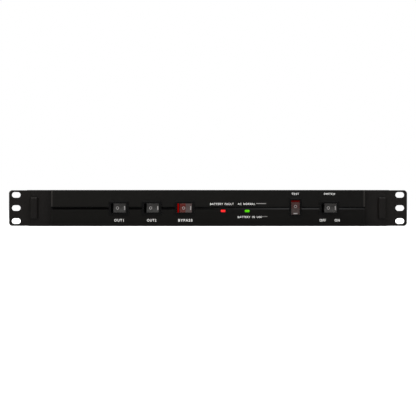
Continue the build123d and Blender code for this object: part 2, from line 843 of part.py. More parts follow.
# Sealed batteries, lying on their wide side in a row across the chassis
for number, x in enumerate(battery_places):
    with BuildPart() as battery:
        with BuildSketch(Plane.XY.offset(battery_bottom)):
            with Locations((x, battery_middle_y)):
                Rectangle(battery_width, battery_length)
        extrude(amount=battery_height)
        fillet(battery.edges().filter_by(Axis.X), battery_round)
        lid_seam = x + battery_width / 2 - battery_lid
        with BuildSketch(Plane.YZ.offset(lid_seam)):
            with Locations((battery_middle_y, (battery_bottom + battery_top) / 2)):
                Rectangle(battery_length, battery_height)
                Rectangle(
                    battery_length - 2 * battery_lid_groove,
                    battery_height - 2 * battery_lid_groove,
                    mode=Mode.SUBTRACT,
                )
        extrude(amount=battery_lid_groove, mode=Mode.SUBTRACT)
        with BuildSketch(Plane.YZ.offset(x + battery_width / 2)):
            for end in (-1, 1):
                place = (
                    battery_middle_y + end * (battery_length / 2 - terminal_inset),
                    end * -terminal_height,
                )
                with Locations(place):
                    Rectangle(terminal_width, terminal_thickness)
        extrude(amount=terminal_length)
    battery.part.label = f"battery_{number + 1}"
    export_step(battery.part, f"parts/battery_{number + 1}.step")

with BuildPart() as battery_pads:
    for x in battery_places:
        with BuildSketch(Plane.XY.offset(floor_z)):
            with Locations((x, battery_middle_y)):
                with GridLocations(1, battery_length - 2 * pad_width, 1, 2):
                    Rectangle(battery_width - pad_width, pad_width)
        extrude(amount=pad_thickness)
battery_pads.part.label = "battery_pads"
export_step(battery_pads.part, "parts/battery_pads.step")

# The clamp bar over the batteries, folded down to a foot at each end
with BuildPart() as battery_clamp:
    with BuildSketch(Plane.XZ.offset(-(battery_middle_y - clamp_width / 2))):
        clamp_low = floor_z + clamp_sheet / 2
        clamp_high = battery_top + clamp_sheet / 2
        leg = clamp_span / 2 - clamp_sheet / 2
        with BuildLine():
            FilletPolyline(
                (-leg - clamp_foot, clamp_low),
                (-leg, clamp_low),
                (-leg, clamp_high),
                (leg, clamp_high),
                (leg, clamp_low),
                (leg + clamp_foot, clamp_low),
                radius=clamp_bend,
            )
        trace(line_width=clamp_sheet)
    extrude(amount=-clamp_width)
    with BuildSketch(Plane.XY.offset(floor_z)):
        with Locations((0, battery_middle_y)):
            with GridLocations(clamp_span + clamp_foot, 1, 2, 1):
                Circle(screw_radius + hole_clearance)
    extrude(amount=clamp_sheet * 2, mode=Mode.SUBTRACT)
battery_clamp.part.label = "battery_clamp"
export_step(battery_clamp.part, "parts/battery_clamp.step")

# Battery wiring: a link from the rear terminal of each battery to the front terminal of the next, and the
# two supply leads from the free terminals at the ends of the row to the main board
terminal_front_y = battery_middle_y - battery_length / 2 + terminal_inset
terminal_rear_y = battery_middle_y + battery_length / 2 - terminal_inset
wire_x = battery_width / 2 + terminal_length / 2
link_y = battery_front - link_front_gap
lead_y = battery_front + battery_length + board_battery_gap / 2
lead_z = board_top + terminal_block_height / 2
block_face = terminal_block_y - terminal_block_width / 2
first_x = battery_places[0] + wire_x
last_x = battery_places[-1] + wire_x
wire_routes = [
    [
        (x + wire_x, terminal_rear_y - terminal_width / 2, -terminal_height),
        (x + wire_x, link_y, -terminal_height),
        (x + wire_x + battery_pitch, link_y, terminal_height),
        (x + wire_x + battery_pitch, terminal_front_y - terminal_width / 2, terminal_height),
    ]
    for x in battery_places[:-1]
]
wire_routes.append(
    [
        (first_x, terminal_front_y + terminal_width / 2, terminal_height),
        (first_x, lead_y, terminal_height),
        (terminal_block_x - terminal_block_length / 4, lead_y, lead_z),
        (terminal_block_x - terminal_block_length / 4, block_face, lead_z),
    ]
)
wire_routes.append(
    [
        (last_x, terminal_rear_y + terminal_width / 2, -terminal_height),
        (last_x, lead_y, -terminal_height),
        (terminal_block_x + terminal_block_length / 4, lead_y, lead_z),
        (terminal_block_x + terminal_block_length / 4, block_face, lead_z),
    ]
)
with BuildPart() as battery_wiring:
    for route in wire_routes:
        with BuildLine() as wire_line:
            FilletPolyline(*route, radius=wire_bend)
        with BuildSketch(Plane(origin=wire_line.line @ 0, z_dir=wire_line.line % 0)):
            Circle(wire_radius)
        sweep(path=wire_line.line)
battery_wiring.part.label = "battery_wiring"
export_step(battery_wiring.part, "parts/battery_wiring.step")

# Connectors: the ribbon's two headers and the terminal block that takes the battery leads
with BuildPart() as board_connectors:
    with BuildSketch(upright(spacer_length + board_thickness)):
        with Locations((control_board_x, header_z)):
            Rectangle(header_width, header_height)
    extrude(amount=-header_depth)
    with BuildSketch(Plane.XY.offset(board_top)):
        with Locations((ribbon_end_x, ribbon_landing)):
            Rectangle(header_width, header_height)
    extrude(amount=header_depth)
    with BuildSketch(Plane.XY.offset(board_top)):
        with Locations((terminal_block_x, terminal_block_y)):
            Rectangle(terminal_block_length, terminal_block_width)
    extrude(amount=terminal_block_height)
    with BuildSketch(Plane.XY.offset(board_top + terminal_block_height)):
        with Locations((terminal_block_x, terminal_block_y)):
            with GridLocations(terminal_block_length / 2, 1, 2, 1):
                Circle(head_radius)
    extrude(amount=-head_height, mode=Mode.SUBTRACT)
board_connectors.part.label = "board_connectors"
export_step(board_connectors.part, "parts/board_connectors.step")

# The main board, cut back round the fan, on turned standoffs
fan_room = fan_size + 2 * board_side_gap
with BuildPart() as main_board:
    with BuildSketch(Plane.XY.offset(board_z)):
        with Locations((board_x, board_y)):
            Rectangle(board_width, board_length)
            with GridLocations(standoff_columns, standoff_rows, 2, standoff_count):
                Circle(screw_radius + hole_clearance, mode=Mode.SUBTRACT)
        with Locations((fan_x, inner_rear)):
            Rectangle(
                fan_room,
                fan_depth + board_side_gap,
                align=(Align.CENTER, Align.MAX),
                mode=Mode.SUBTRACT,
            )
    extrude(amount=board_thickness)
main_board.part.label = "main_board"
export_step(main_board.part, "parts/main_board.step")

# Standoffs: hexagonal ones for the two boards, plain tubes under the transformer
with BuildPart() as standoffs:
    with BuildSketch(upright(0)):
        with Locations((control_board_x, 0)):
            with GridLocations(spacer_columns, spacer_rise, 2, 2):
                RegularPolygon(spacer_radius, 6)
                Circle(screw_radius + thread_clearance, mode=Mode.SUBTRACT)
    extrude(amount=-spacer_length)
    with BuildSketch(Plane.XY.offset(floor_z)):
        with Locations((board_x, board_y)):
            with GridLocations(standoff_columns, standoff_rows, 2, standoff_count):
                RegularPolygon(standoff_radius, 6)
                Circle(screw_radius + thread_clearance, mode=Mode.SUBTRACT)
    extrude(amount=standoff_length)
    with BuildSketch(Plane.XY.offset(floor_z)):
        with Locations((transformer_x, transformer_y)):
            with GridLocations(bolt_columns, bolt_rows, 2, 2):
                Circle(spacer_tube_radius)
                Circle(transformer_bolt_radius + hole_clearance, mode=Mode.SUBTRACT)
    extrude(amount=core_low - floor_z)
standoffs.part.label = "standoffs"
export_step(standoffs.part, "parts/standoffs.step")

# Pan head screws of the two boards and of the battery clamp
with BuildPart() as board_screws:
    with BuildSketch(upright(spacer_length + board_thickness)):
        with Locations((control_board_x, 0)):
            with GridLocations(spacer_columns, spacer_rise, 2, 2):
                Circle(head_radius)
    extrude(amount=-head_height)
    with BuildSketch(upright(spacer_length + board_thickness)):
        with Locations((control_board_x, 0)):
            with GridLocations(spacer_columns, spacer_rise, 2, 2):
                Circle(screw_radius)
    extrude(amount=board_thickness + spacer_length / 2)
    with BuildSketch(Plane.XY.offset(board_top)):
        with Locations((board_x, board_y)):
            with GridLocations(standoff_columns, standoff_rows, 2, standoff_count):
                Circle(head_radius)
    extrude(amount=head_height)
    with BuildSketch(Plane.XY.offset(board_top)):
        with Locations((board_x, board_y)):
            with GridLocations(standoff_columns, standoff_rows, 2, standoff_count):
                Circle(screw_radius)
    extrude(amount=-(board_thickness + standoff_length / 2))
    with BuildSketch(Plane.XY.offset(floor_z + clamp_sheet)):
        with Locations((0, battery_middle_y)):
            with GridLocations(clamp_span + clamp_foot, 1, 2, 1):
                Circle(head_radius)
    extrude(amount=head_height)
    with BuildSketch(Plane.XY.offset(floor_z)):
        with Locations((0, battery_middle_y)):
            with GridLocations(clamp_span + clamp_foot, 1, 2, 1):
                Circle(screw_radius)
    extrude(amount=clamp_sheet)
board_screws.part.label = "board_screws"
export_step(board_screws.part, "parts/board_screws.step")

# Two extruded combs: each has a base that carries transistors, with level fins on its other side
sink_left_x = board_x - sink_spacing / 2
sink_right_x = board_x + sink_spacing / 2
fin_pitch = (sink_height - sink_fin) / (sink_fins - 1)
with BuildPart() as heatsinks:
    with BuildSketch(upright(board_y - sink_length / 2)):
        for x, side in ((sink_left_x, -1), (sink_right_x, 1)):
            with Locations((x + side * sink_base / 2, board_top + sink_height / 2)):
                Rectangle(sink_base, sink_height)
            with Locations((x + side * sink_reach / 2, board_top + sink_height / 2)):
                with GridLocations(1, fin_pitch, 1, sink_fins):
                    Rectangle(sink_reach, sink_fin)
    extrude(amount=-sink_length)
heatsinks.part.label = "heatsinks"
export_step(heatsinks.part, "parts/heatsinks.step")

# Power transistors, screwed flat against the two heatsinks
with BuildPart() as power_transistors:
    tab_low = board_top + transistor_lift
    for x, inward in ((sink_left_x, 1), (sink_right_x, -1)):
        for number in range(transistor_count):
            y = board_y + (number - (transistor_count - 1) / 2) * transistor_pitch
            with Locations((x + inward * transistor_tab / 2, y, tab_low + transistor_tab_height / 2)):
                Box(transistor_tab, transistor_width, transistor_tab_height)
            with Locations((x + inward * transistor_depth / 2, y, tab_low + transistor_body / 2)):
                Box(transistor_depth, transistor_width, transistor_body)
            for lead in (-1, 0, 1):
                foot = (x + inward * transistor_depth / 2, y + lead * lead_spacing)
                with Locations((*foot, board_top + transistor_lift / 2)):
                    Box(lead_size, lead_size * 2, transistor_lift)
power_transistors.part.label = "power_transistors"
export_step(power_transistors.part, "parts/power_transistors.step")

# Storage capacitors in the space between the heatsinks
with BuildPart() as storage_capacitors:
    with BuildSketch(Plane.XY.offset(board_top)):
        with Locations((board_x, board_y)):
            with GridLocations(1, capacitor_pitch, 1, capacitor_count):
                Circle(capacitor_radius)
    extrude(amount=capacitor_height)
    fillet(storage_capacitors.edges().filter_by(GeomType.CIRCLE), capacitor_round)
storage_capacitors.part.label = "storage_capacitors"
export_step(storage_capacitors.part, "parts/storage_capacitors.step")

with BuildPart() as relays:
    with BuildSketch(Plane.XY.offset(board_top)):
        relay_x = board_left + standoff_radius * 4 + relay_width / 2
        with Locations((relay_x, board_y)):
            with GridLocations(1, relay_pitch, 1, relay_count):
                Rectangle(relay_width, relay_length)
    extrude(amount=relay_height)
    chamfer(relays.faces().filter_by(Axis.Z).group_by(Axis.Z)[-1].edges(), terminal_thickness)
relays.part.label = "relays"
export_step(relays.part, "parts/relays.step")

with BuildPart() as line_choke:
    choke_x = board_right - 2 * choke_outer
    with BuildSketch(Plane.XY.offset(board_top)):
        with Locations((choke_x, board_y)):
            with GridLocations(1, 3 * choke_outer, 1, 2):
                Circle(choke_outer)
                Circle(choke_inner, mode=Mode.SUBTRACT)
    extrude(amount=choke_height)
    fillet(line_choke.edges().filter_by(GeomType.CIRCLE), choke_round)
line_choke.part.label = "line_choke"
export_step(line_choke.part, "parts/line_choke.step")

# The mains transformer: a stack of plates with a coil round its middle leg, on four long bolts
with BuildPart() as transformer_core:
    with BuildSketch(Plane.XY.offset(core_low)):
        with Locations((transformer_x, transformer_y)):
            Rectangle(core_width, core_depth)
            with GridLocations(window_width + 2 * core_leg, 1, 2, 1):
                Rectangle(window_width, window_depth, mode=Mode.SUBTRACT)
            with GridLocations(bolt_columns, bolt_rows, 2, 2):
                Circle(transformer_bolt_radius + hole_clearance, mode=Mode.SUBTRACT)
    extrude(amount=core_height)
transformer_core.part.label = "transformer_core"
export_step(transformer_core.part, "parts/transformer_core.step")

with BuildPart() as transformer_coil:
    with BuildSketch(Plane.XZ.offset(-(transformer_y - window_depth / 2 + coil_gap))):
        with Locations((transformer_x, core_low + core_height / 2)):
            RectangleRounded(
                2 * core_leg + 2 * window_width - 2 * coil_gap,
                core_height + 2 * coil_overhang,
                coil_round,
            )
            Rectangle(2 * core_leg + 2 * coil_gap, core_height + 2 * coil_gap, mode=Mode.SUBTRACT)
    extrude(amount=-(window_depth - 2 * coil_gap))
transformer_coil.part.label = "transformer_coil"
export_step(transformer_coil.part, "parts/transformer_coil.step")

with BuildPart() as transformer_bolts:
    with BuildSketch(Plane.XY.offset(floor_z)):
        with Locations((transformer_x, transformer_y)):
            with GridLocations(bolt_columns, bolt_rows, 2, 2):
                Circle(transformer_bolt_radius)
    extrude(amount=core_low + core_height + transformer_nut_height - floor_z)
    with BuildSketch(Plane.XY.offset(core_low + core_height)):
        with Locations((transformer_x, transformer_y)):
            with GridLocations(bolt_columns, bolt_rows, 2, 2):
                RegularPolygon(transformer_nut_radius, 6)
    extrude(amount=transformer_nut_height)
transformer_bolts.part.label = "transformer_bolts"
export_step(transformer_bolts.part, "parts/transformer_bolts.step")


def mouth_outline(width, height):
    """The outline of an appliance coupler: a rectangle with two of its corners cut off."""
    half, top, cut = width / 2, height / 2, mouth_corner * height / inlet_mouth_height
    with BuildSketch() as outline:
        with BuildLine():
            Polyline(
                (-half, -top),
                (half, -top),
                (half, top - cut),
                (half - cut, top),
                (cut - half, top),
                (-half, top - cut),
                close=True,
            )
        make_face()
    return outline.sketch


def latch_outline(x, side, body_width):
    """The outline, seen from above, of a sprung ramp that locks a coupler behind the rear wall."""
    with BuildSketch() as outline:
        with BuildLine():
            Polyline(
                (x + side * body_width / 2, inner_rear - rear_fit),
                (x + side * (body_width / 2 + latch_proud), inner_rear - rear_fit),
                (x + side * body_width / 2, inner_rear - rear_fit - latch_length),
                close=True,
            )
        make_face()
    return outline.sketch


pin_spots = [(-pin_pitch, -pin_drop), (0, pin_drop), (pin_pitch, -pin_drop)]

# The mains inlet: a moulded coupler with a deep mouth round three flat pins
with BuildPart() as mains_inlet:
    with BuildSketch(upright(chassis_depth)):
        with Locations((inlet_x, 0)):
            RectangleRounded(inlet_flange_width, inlet_flange_height, socket_corner)
    extrude(amount=-socket_flange)
    chamfer(mains_inlet.faces().sort_by(Axis.Y)[-1].edges(), socket_flange / 3)
    with BuildSketch(upright(chassis_depth)):
        with Locations((inlet_x, 0)):
            Rectangle(inlet_body_width, inlet_body_height)
    extrude(amount=inlet_body_depth)
    for side in (-1, 1):
        with BuildSketch(Plane.XY.offset(-latch_height / 2)):
            add(latch_outline(inlet_x, side, inlet_body_width))
        extrude(amount=latch_height)
    with BuildSketch(upright(chassis_depth + socket_flange)):
        with Locations((inlet_x, 0)):
            add(mouth_outline(inlet_mouth_width, inlet_mouth_height))
    extrude(amount=inlet_mouth_depth, mode=Mode.SUBTRACT)
    with BuildSketch(upright(chassis_depth)):
        with Locations((inlet_x, 0)):
            with Locations(*pin_spots):
                Rectangle(pin_thickness, pin_height)
    extrude(amount=inlet_body_depth, mode=Mode.SUBTRACT)
mains_inlet.part.label = "mains_inlet"
export_step(mains_inlet.part, "parts/mains_inlet.step")

with BuildPart() as inlet_pins:
    with BuildSketch(upright(chassis_depth + socket_flange - pin_recess)):
        with Locations((inlet_x, 0)):
            with Locations(*pin_spots):
                Rectangle(pin_thickness, pin_height)
    extrude(amount=inlet_body_depth + socket_flange - pin_recess + pin_tail)
inlet_pins.part.label = "inlet_pins"
export_step(inlet_pins.part, "parts/inlet_pins.step")

# Outlets: each has a groove for the plug's shroud and three contact slots in its core
for number in range(outlet_count):
    outlet_x = outlet_first_x - number * outlet_pitch
    with BuildPart() as outlet:
        with BuildSketch(upright(chassis_depth)):
            with Locations((outlet_x, 0)):
                RectangleRounded(outlet_flange_width, outlet_flange_height, socket_corner)
        extrude(amount=-socket_flange)
        chamfer(outlet.faces().sort_by(Axis.Y)[-1].edges(), socket_flange / 3)
        with BuildSketch(upright(chassis_depth)):
            with Locations((outlet_x, 0)):
                Rectangle(outlet_body_width, outlet_body_height)
        extrude(amount=outlet_body_depth)
        for side in (-1, 1):
            with BuildSketch(Plane.XY.offset(-latch_height / 2)):
                add(latch_outline(outlet_x, side, outlet_body_width))
            extrude(amount=latch_height)
        core_width_inside = inlet_mouth_width - 2 * outlet_groove
        core_height_inside = inlet_mouth_height - 2 * outlet_groove
        with BuildSketch(upright(chassis_depth + socket_flange)):
            with Locations((outlet_x, 0)):
                add(mouth_outline(inlet_mouth_width, inlet_mouth_height))
                add(mouth_outline(core_width_inside, core_height_inside), mode=Mode.SUBTRACT)
                with Locations(*pin_spots):
                    Rectangle(contact_slot_width, contact_slot_height)
        extrude(amount=outlet_groove_depth, mode=Mode.SUBTRACT)
    outlet.part.label = f"outlet_{number + 1}"
    export_step(outlet.part, f"parts/outlet_{number + 1}.step")

# The circuit breaker: its neck passes the rear wall and guides the reset button
chamber_depth = reset_travel + reset_collar_height + reset_clearance
with BuildPart() as breaker_body:
    with BuildSketch(upright(inner_rear)):
        with Locations((breaker_x, 0)):
            Rectangle(breaker_width, breaker_height)
    extrude(amount=breaker_depth)
    fillet(breaker_body.edges().filter_by(Axis.Y), reset_round)
    with BuildSketch(upright(inner_rear)):
        with Locations((breaker_x, 0)):
            Circle(breaker_neck_radius)
    extrude(amount=-(sheet + breaker_neck_proud))
    with BuildSketch(upright(chassis_depth + breaker_neck_proud)):
        with Locations((breaker_x, 0)):
            Circle(reset_radius + reset_clearance)
    extrude(amount=breaker_depth, mode=Mode.SUBTRACT)
    with BuildSketch(upright(inner_rear - bezel_wall)):
        with Locations((breaker_x, 0)):
            Circle(reset_collar + hole_clearance)
    extrude(amount=chamber_depth, mode=Mode.SUBTRACT)
breaker_body.part.label = "breaker_body"
export_step(breaker_body.part, "parts/breaker_body.step")

with BuildPart() as breaker_button:
    collar_y = inner_rear - bezel_wall - chamber_depth + reset_clearance
    with BuildSketch(upright(chassis_depth + breaker_neck_proud + reset_proud)):
        with Locations((breaker_x, 0)):
            Circle(reset_radius)
    extrude(amount=chassis_depth + breaker_neck_proud + reset_proud - collar_y + reset_stem)
    fillet(breaker_button.faces().sort_by(Axis.Y)[-1].edges(), reset_round)
    with BuildSketch(upright(collar_y)):
        with Locations((breaker_x, 0)):
            Circle(reset_collar)
    extrude(amount=-reset_collar_height)
breaker_button.part.label = "breaker_button"
export_step(breaker_button.part, "parts/breaker_button.step")

# The fan: a square duct with a motor plate on struts, and a rotor that turns on its shaft
fan_front = inner_rear - fan_depth
with BuildPart() as fan_frame:
    with BuildSketch(upright(inner_rear)):
        with Locations((fan_x, fan_z)):
            RectangleRounded(fan_size, fan_size, fan_corner)
            Circle(fan_bore_radius, mode=Mode.SUBTRACT)
            with GridLocations(fan_screw_pitch, fan_screw_pitch, 2, 2):
                Circle(screw_radius + thread_clearance, mode=Mode.SUBTRACT)
    extrude(amount=fan_depth)
    with BuildSketch(upright(fan_front)):
        with Locations((fan_x, fan_z)):
            Circle(motor_radius)
            with PolarLocations(0, strut_count):
                with Locations((fan_bore_radius / 2, 0)):
                    Rectangle(fan_bore_radius + strut_width, strut_width)
    extrude(amount=-motor_plate)
    with BuildSketch(upright(fan_front + motor_plate)):
        with Locations((fan_x, fan_z)):
            Circle(shaft_radius + bearing_clearance + bearing_wall)
    extrude(amount=-(rotor_depth / 2))
    with BuildSketch(upright(fan_front)):
        with Locations((fan_x, fan_z)):
            Circle(shaft_radius + bearing_clearance)
    extrude(amount=-(motor_plate + rotor_depth), mode=Mode.SUBTRACT)
fan_frame.part.label = "fan_frame"
export_step(fan_frame.part, "parts/fan_frame.step")

rotor_front = fan_front + motor_plate + rotor_gap
with BuildPart() as fan_rotor:
    with BuildSketch(upright(rotor_front)):
        with Locations((fan_x, fan_z)):
            Circle(rotor_hub_radius)
    extrude(amount=-rotor_depth)
    fillet(fan_rotor.faces().sort_by(Axis.Y)[-1].edges(), hub_round)
    with BuildSketch(upright(rotor_front)):
        with Locations((fan_x, fan_z)):
            Circle(rotor_hub_radius - fan_wall)
    extrude(amount=-(rotor_depth - fan_wall), mode=Mode.SUBTRACT)
    with BuildSketch(upright(fan_front + motor_plate / 2)):
        with Locations((fan_x, fan_z)):
            Circle(shaft_radius)
    extrude(amount=-(motor_plate / 2 + rotor_gap + rotor_depth - fan_wall / 2))
    rotor_middle = rotor_front + rotor_depth / 2
    for turn in range(blade_count_fan):
        angle = turn * 360 / blade_count_fan
        outward = Vector(cos(radians(angle)), 0, sin(radians(angle)))
        root = Vector(fan_x, rotor_middle, fan_z) + outward * (rotor_hub_radius - fan_wall / 2)
        with BuildSketch(Plane(origin=root, x_dir=(0, 1, 0), z_dir=outward)):
            Rectangle(blade_chord, fan_blade_thickness, rotation=blade_pitch_angle)
        extrude(amount=rotor_tip_radius - rotor_hub_radius)
fan_rotor.part.label = "fan_rotor"
export_step(fan_rotor.part, "parts/fan_rotor.step")

# The finger guard, stamped from sheet, with an eye for each fan screw
with BuildPart() as fan_guard:
    with BuildSketch(upright(chassis_depth)):
        with Locations((fan_x, fan_z)):
            for arm in (45, 135):
                Rectangle(fan_screw_pitch * 2**0.5, guard_arm_width, rotation=arm)
            for radius in guard_radii:
                Circle(radius + guard_ring_width / 2)
                Circle(radius - guard_ring_width / 2, mode=Mode.SUBTRACT)
                for arm in (45, 135):
                    Rectangle(2 * radius, guard_arm_width, rotation=arm)
            Circle(guard_arm_width)
            with GridLocations(fan_screw_pitch, fan_screw_pitch, 2, 2):
                Circle(guard_eye_radius)
                Circle(screw_radius + hole_clearance, mode=Mode.SUBTRACT)
    extrude(amount=-guard_thickness)
fan_guard.part.label = "fan_guard"
export_step(fan_guard.part, "parts/fan_guard.step")

# Pan head screws of the case: six in the sides of the cover and four through the finger guard
with BuildPart() as case_screws:
    for side in (-1, 1):
        outside = Plane.YZ.offset(side * cover_width / 2)
        with BuildSketch(outside):
            with Locations(*cover_screw_places):
                Circle(head_radius)
        extrude(amount=side * head_height)
        with BuildSketch(outside):
            with Locations(*cover_screw_places):
                Circle(screw_radius)
        extrude(amount=-side * (cover_sheet + sheet + head_height))
    with BuildSketch(upright(chassis_depth + guard_thickness)):
        with Locations((fan_x, fan_z)):
            with GridLocations(fan_screw_pitch, fan_screw_pitch, 2, 2):
                Circle(head_radius)
    extrude(amount=-head_height)
    with BuildSketch(upright(chassis_depth + guard_thickness)):
        with Locations((fan_x, fan_z)):
            with GridLocations(fan_screw_pitch, fan_screw_pitch, 2, 2):
                Circle(screw_radius)
    extrude(amount=guard_thickness + sheet + fan_depth / 2)
case_screws.part.label = "case_screws"
export_step(case_screws.part, "parts/case_screws.step")

# Data ports on the rear edge of the main board
with BuildPart() as network_jacks:
    jack_middle = board_top + jack_height / 2 + jack_mouth_z
    with BuildSketch(upright(chassis_depth)):
        with Locations((jack_x, board_top)):
            Rectangle(jack_width, jack_height, align=(Align.CENTER, Align.MIN))
    extrude(amount=jack_depth)
    with BuildSketch(upright(chassis_depth)):
        with Locations((jack_x, jack_middle)):
            with GridLocations(jack_pitch, 1, 2, 1):
                Rectangle(jack_mouth_width, jack_mouth_height)
                with Locations((0, (jack_mouth_height + jack_latch_height) / 2)):
                    Rectangle(jack_latch_width, jack_latch_height)
    extrude(amount=jack_mouth_depth, mode=Mode.SUBTRACT)
network_jacks.part.label = "network_jacks"
export_step(network_jacks.part, "parts/network_jacks.step")

with BuildPart() as usb_jack:
    usb_middle = board_top + usb_height / 2
    with BuildSketch(upright(chassis_depth)):
        with Locations((usb_x, usb_middle)):
            Rectangle(usb_width, usb_height)
    extrude(amount=usb_depth)
    with BuildSketch(upright(chassis_depth)):
        with Locations((usb_x, usb_middle)):
            Rectangle(usb_mouth_width, usb_mouth_height)
        chamfer(vertices().group_by(Axis.Z)[-1], usb_corner)
    extrude(amount=usb_mouth_depth, mode=Mode.SUBTRACT)
    with BuildSketch(upright(chassis_depth - usb_mouth_depth)):
        with Locations((usb_x, usb_middle)):
            Rectangle(usb_tongue_width, usb_tongue_height)
    extrude(amount=-(usb_mouth_depth - board_thickness))
usb_jack.part.label = "usb_jack"
export_step(usb_jack.part, "parts/usb_jack.step")

# The earth stud, pressed into the rear wall, with its nut
with BuildPart() as earth_stud:
    with BuildSketch(upright(inner_rear)):
        with Locations((earth_x, earth_z)):
            Circle(stud_flange)
    extrude(amount=stud_flange_height)
    with BuildSketch(upright(inner_rear)):
        with Locations((earth_x, earth_z)):
            Circle(stud_radius)
    extrude(amount=-(sheet + stud_proud))
    chamfer(earth_stud.faces().sort_by(Axis.Y)[-1].edges(), stud_radius / 5)
earth_stud.part.label = "earth_stud"
export_step(earth_stud.part, "parts/earth_stud.step")

# Nuts on the outside of the rear wall: one on the breaker's neck, one on the earth stud
with BuildPart() as rear_nuts:
    with BuildSketch(upright(chassis_depth)):
        with Locations((breaker_x, 0)):
            RegularPolygon(breaker_nut_radius, 6)
            Circle(breaker_neck_radius + thread_clearance, mode=Mode.SUBTRACT)
    extrude(amount=-breaker_nut_height)
    with BuildSketch(upright(chassis_depth)):
        with Locations((earth_x, earth_z)):
            RegularPolygon(nut_radius, 6)
            Circle(stud_radius + thread_clearance, mode=Mode.SUBTRACT)
    extrude(amount=-nut_height)
rear_nuts.part.label = "rear_nuts"
export_step(rear_nuts.part, "parts/rear_nuts.step")
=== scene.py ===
import math

import bpy
from mathutils import Matrix, Vector


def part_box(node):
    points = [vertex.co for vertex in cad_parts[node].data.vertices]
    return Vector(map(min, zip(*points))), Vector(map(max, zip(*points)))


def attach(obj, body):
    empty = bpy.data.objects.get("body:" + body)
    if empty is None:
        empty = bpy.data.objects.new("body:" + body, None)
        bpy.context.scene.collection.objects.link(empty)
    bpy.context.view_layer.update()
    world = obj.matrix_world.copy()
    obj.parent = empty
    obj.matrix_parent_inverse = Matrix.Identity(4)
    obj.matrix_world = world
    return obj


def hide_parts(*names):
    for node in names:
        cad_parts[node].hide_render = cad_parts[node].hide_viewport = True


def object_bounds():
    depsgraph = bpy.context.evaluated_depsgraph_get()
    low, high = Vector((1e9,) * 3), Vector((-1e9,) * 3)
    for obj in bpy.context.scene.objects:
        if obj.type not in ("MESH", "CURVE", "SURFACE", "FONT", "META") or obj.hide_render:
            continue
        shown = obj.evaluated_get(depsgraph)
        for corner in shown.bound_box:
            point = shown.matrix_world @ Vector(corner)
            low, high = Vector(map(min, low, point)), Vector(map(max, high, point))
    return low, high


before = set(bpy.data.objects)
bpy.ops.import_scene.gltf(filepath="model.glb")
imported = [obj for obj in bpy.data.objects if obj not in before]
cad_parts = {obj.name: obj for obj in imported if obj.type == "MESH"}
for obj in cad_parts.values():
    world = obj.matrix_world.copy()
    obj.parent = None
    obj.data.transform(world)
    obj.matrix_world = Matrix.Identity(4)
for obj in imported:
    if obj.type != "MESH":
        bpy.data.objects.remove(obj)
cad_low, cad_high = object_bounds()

mm = 0.001

# Camera: it stands square to the panel and far back, so that hardly any perspective shows. Its frame is as
# wide as the photograph's 416 pixels are at the ears.
frame_width = 504.7 * mm
focal_length = 300.0
sensor_width = 36.0
camera_distance = frame_width * focal_length / sensor_width
bpy.ops.object.select_all(action="DESELECT")
bpy.ops.object.camera_add(location=(0, -camera_distance, 0), rotation=(math.radians(90), 0, 0))
camera = bpy.context.object
camera.name = "front_camera"
camera.data.lens = focal_length
camera.data.sensor_width = sensor_width
camera.data.clip_start = 0.1
camera.data.clip_end = 100.0
bpy.context.scene.camera = camera
bpy.context.scene.view_settings.view_transform = "Standard"


def linear(shade):
    """An sRGB hex shade as the linear colour that a shader works with."""
    parts = [int(shade[place:place + 2], 16) / 255 for place in (1, 3, 5)]
    return [p / 12.92 if p <= 0.04045 else ((p + 0.055) / 1.055) ** 2.4 for p in parts] + [1.0]


def add_node(tree, kind, settings=None, links=None):
    """Adds a shader node, sets its sockets or properties and links its inputs."""
    node = tree.nodes.new(kind)
    for key, value in (settings or {}).items():
        if isinstance(key, int) or key in node.inputs:
            node.inputs[key].default_value = value
        else:
            setattr(node, key, value)
    for key, source in (links or {}).items():
        tree.links.new(source, node.inputs[key])
    return node


def ramp(tree, value, start=0.0, end=1.0, low=0.0, high=1.0):
    """Maps a value that runs from start to end onto low to high."""
    settings = {"From Min": start, "From Max": end, "To Min": low, "To Max": high}
    return add_node(tree, "ShaderNodeMapRange", settings, {"Value": value}).outputs[0]


def blend(tree, share, first, second):
    """Mixes two colours by a share. Each is a hex shade or another node's colour."""
    mix = add_node(tree, "ShaderNodeMix", {"data_type": "RGBA"}, {0: share})
    for socket, colour in ((6, first), (7, second)):
        if isinstance(colour, str):
            mix.inputs[socket].default_value = linear(colour)
        else:
            tree.links.new(colour, mix.inputs[socket])
    return mix.outputs[2]


# Studio: a pale floor a hair under the object, a white background that only the camera sees, and soft
# lamps on all sides. The strip lamp above the right end is what lights the groove there.
floor_shade = "#e4e4e2"
floor_size = 60.0
floor_lift = 0.3
floor_gap = 0.0002
lit_reach = 0.5
white_reach = 1.6
studio_grey = "#a0a0a2"
studio_dark = "#161617"

world = bpy.data.worlds.new("studio")
bpy.context.scene.world = world
world.use_nodes = True
tree = world.node_tree
tree.nodes.clear()
ray = add_node(tree, "ShaderNodeLightPath")
towards = add_node(tree, "ShaderNodeTexCoord")
parts = add_node(tree, "ShaderNodeSeparateXYZ", links={0: towards.outputs["Generated"]})
facing = ramp(tree, parts.outputs["Y"], -0.6, 0.3)
room = blend(tree, facing, studio_dark, studio_grey)
seen = blend(tree, ray.outputs["Is Camera Ray"], room, "#ffffff")
sky = add_node(tree, "ShaderNodeBackground", {"Strength": 1.0}, {"Color": seen})
add_node(tree, "ShaderNodeOutputWorld", links={"Surface": sky.outputs[0]})

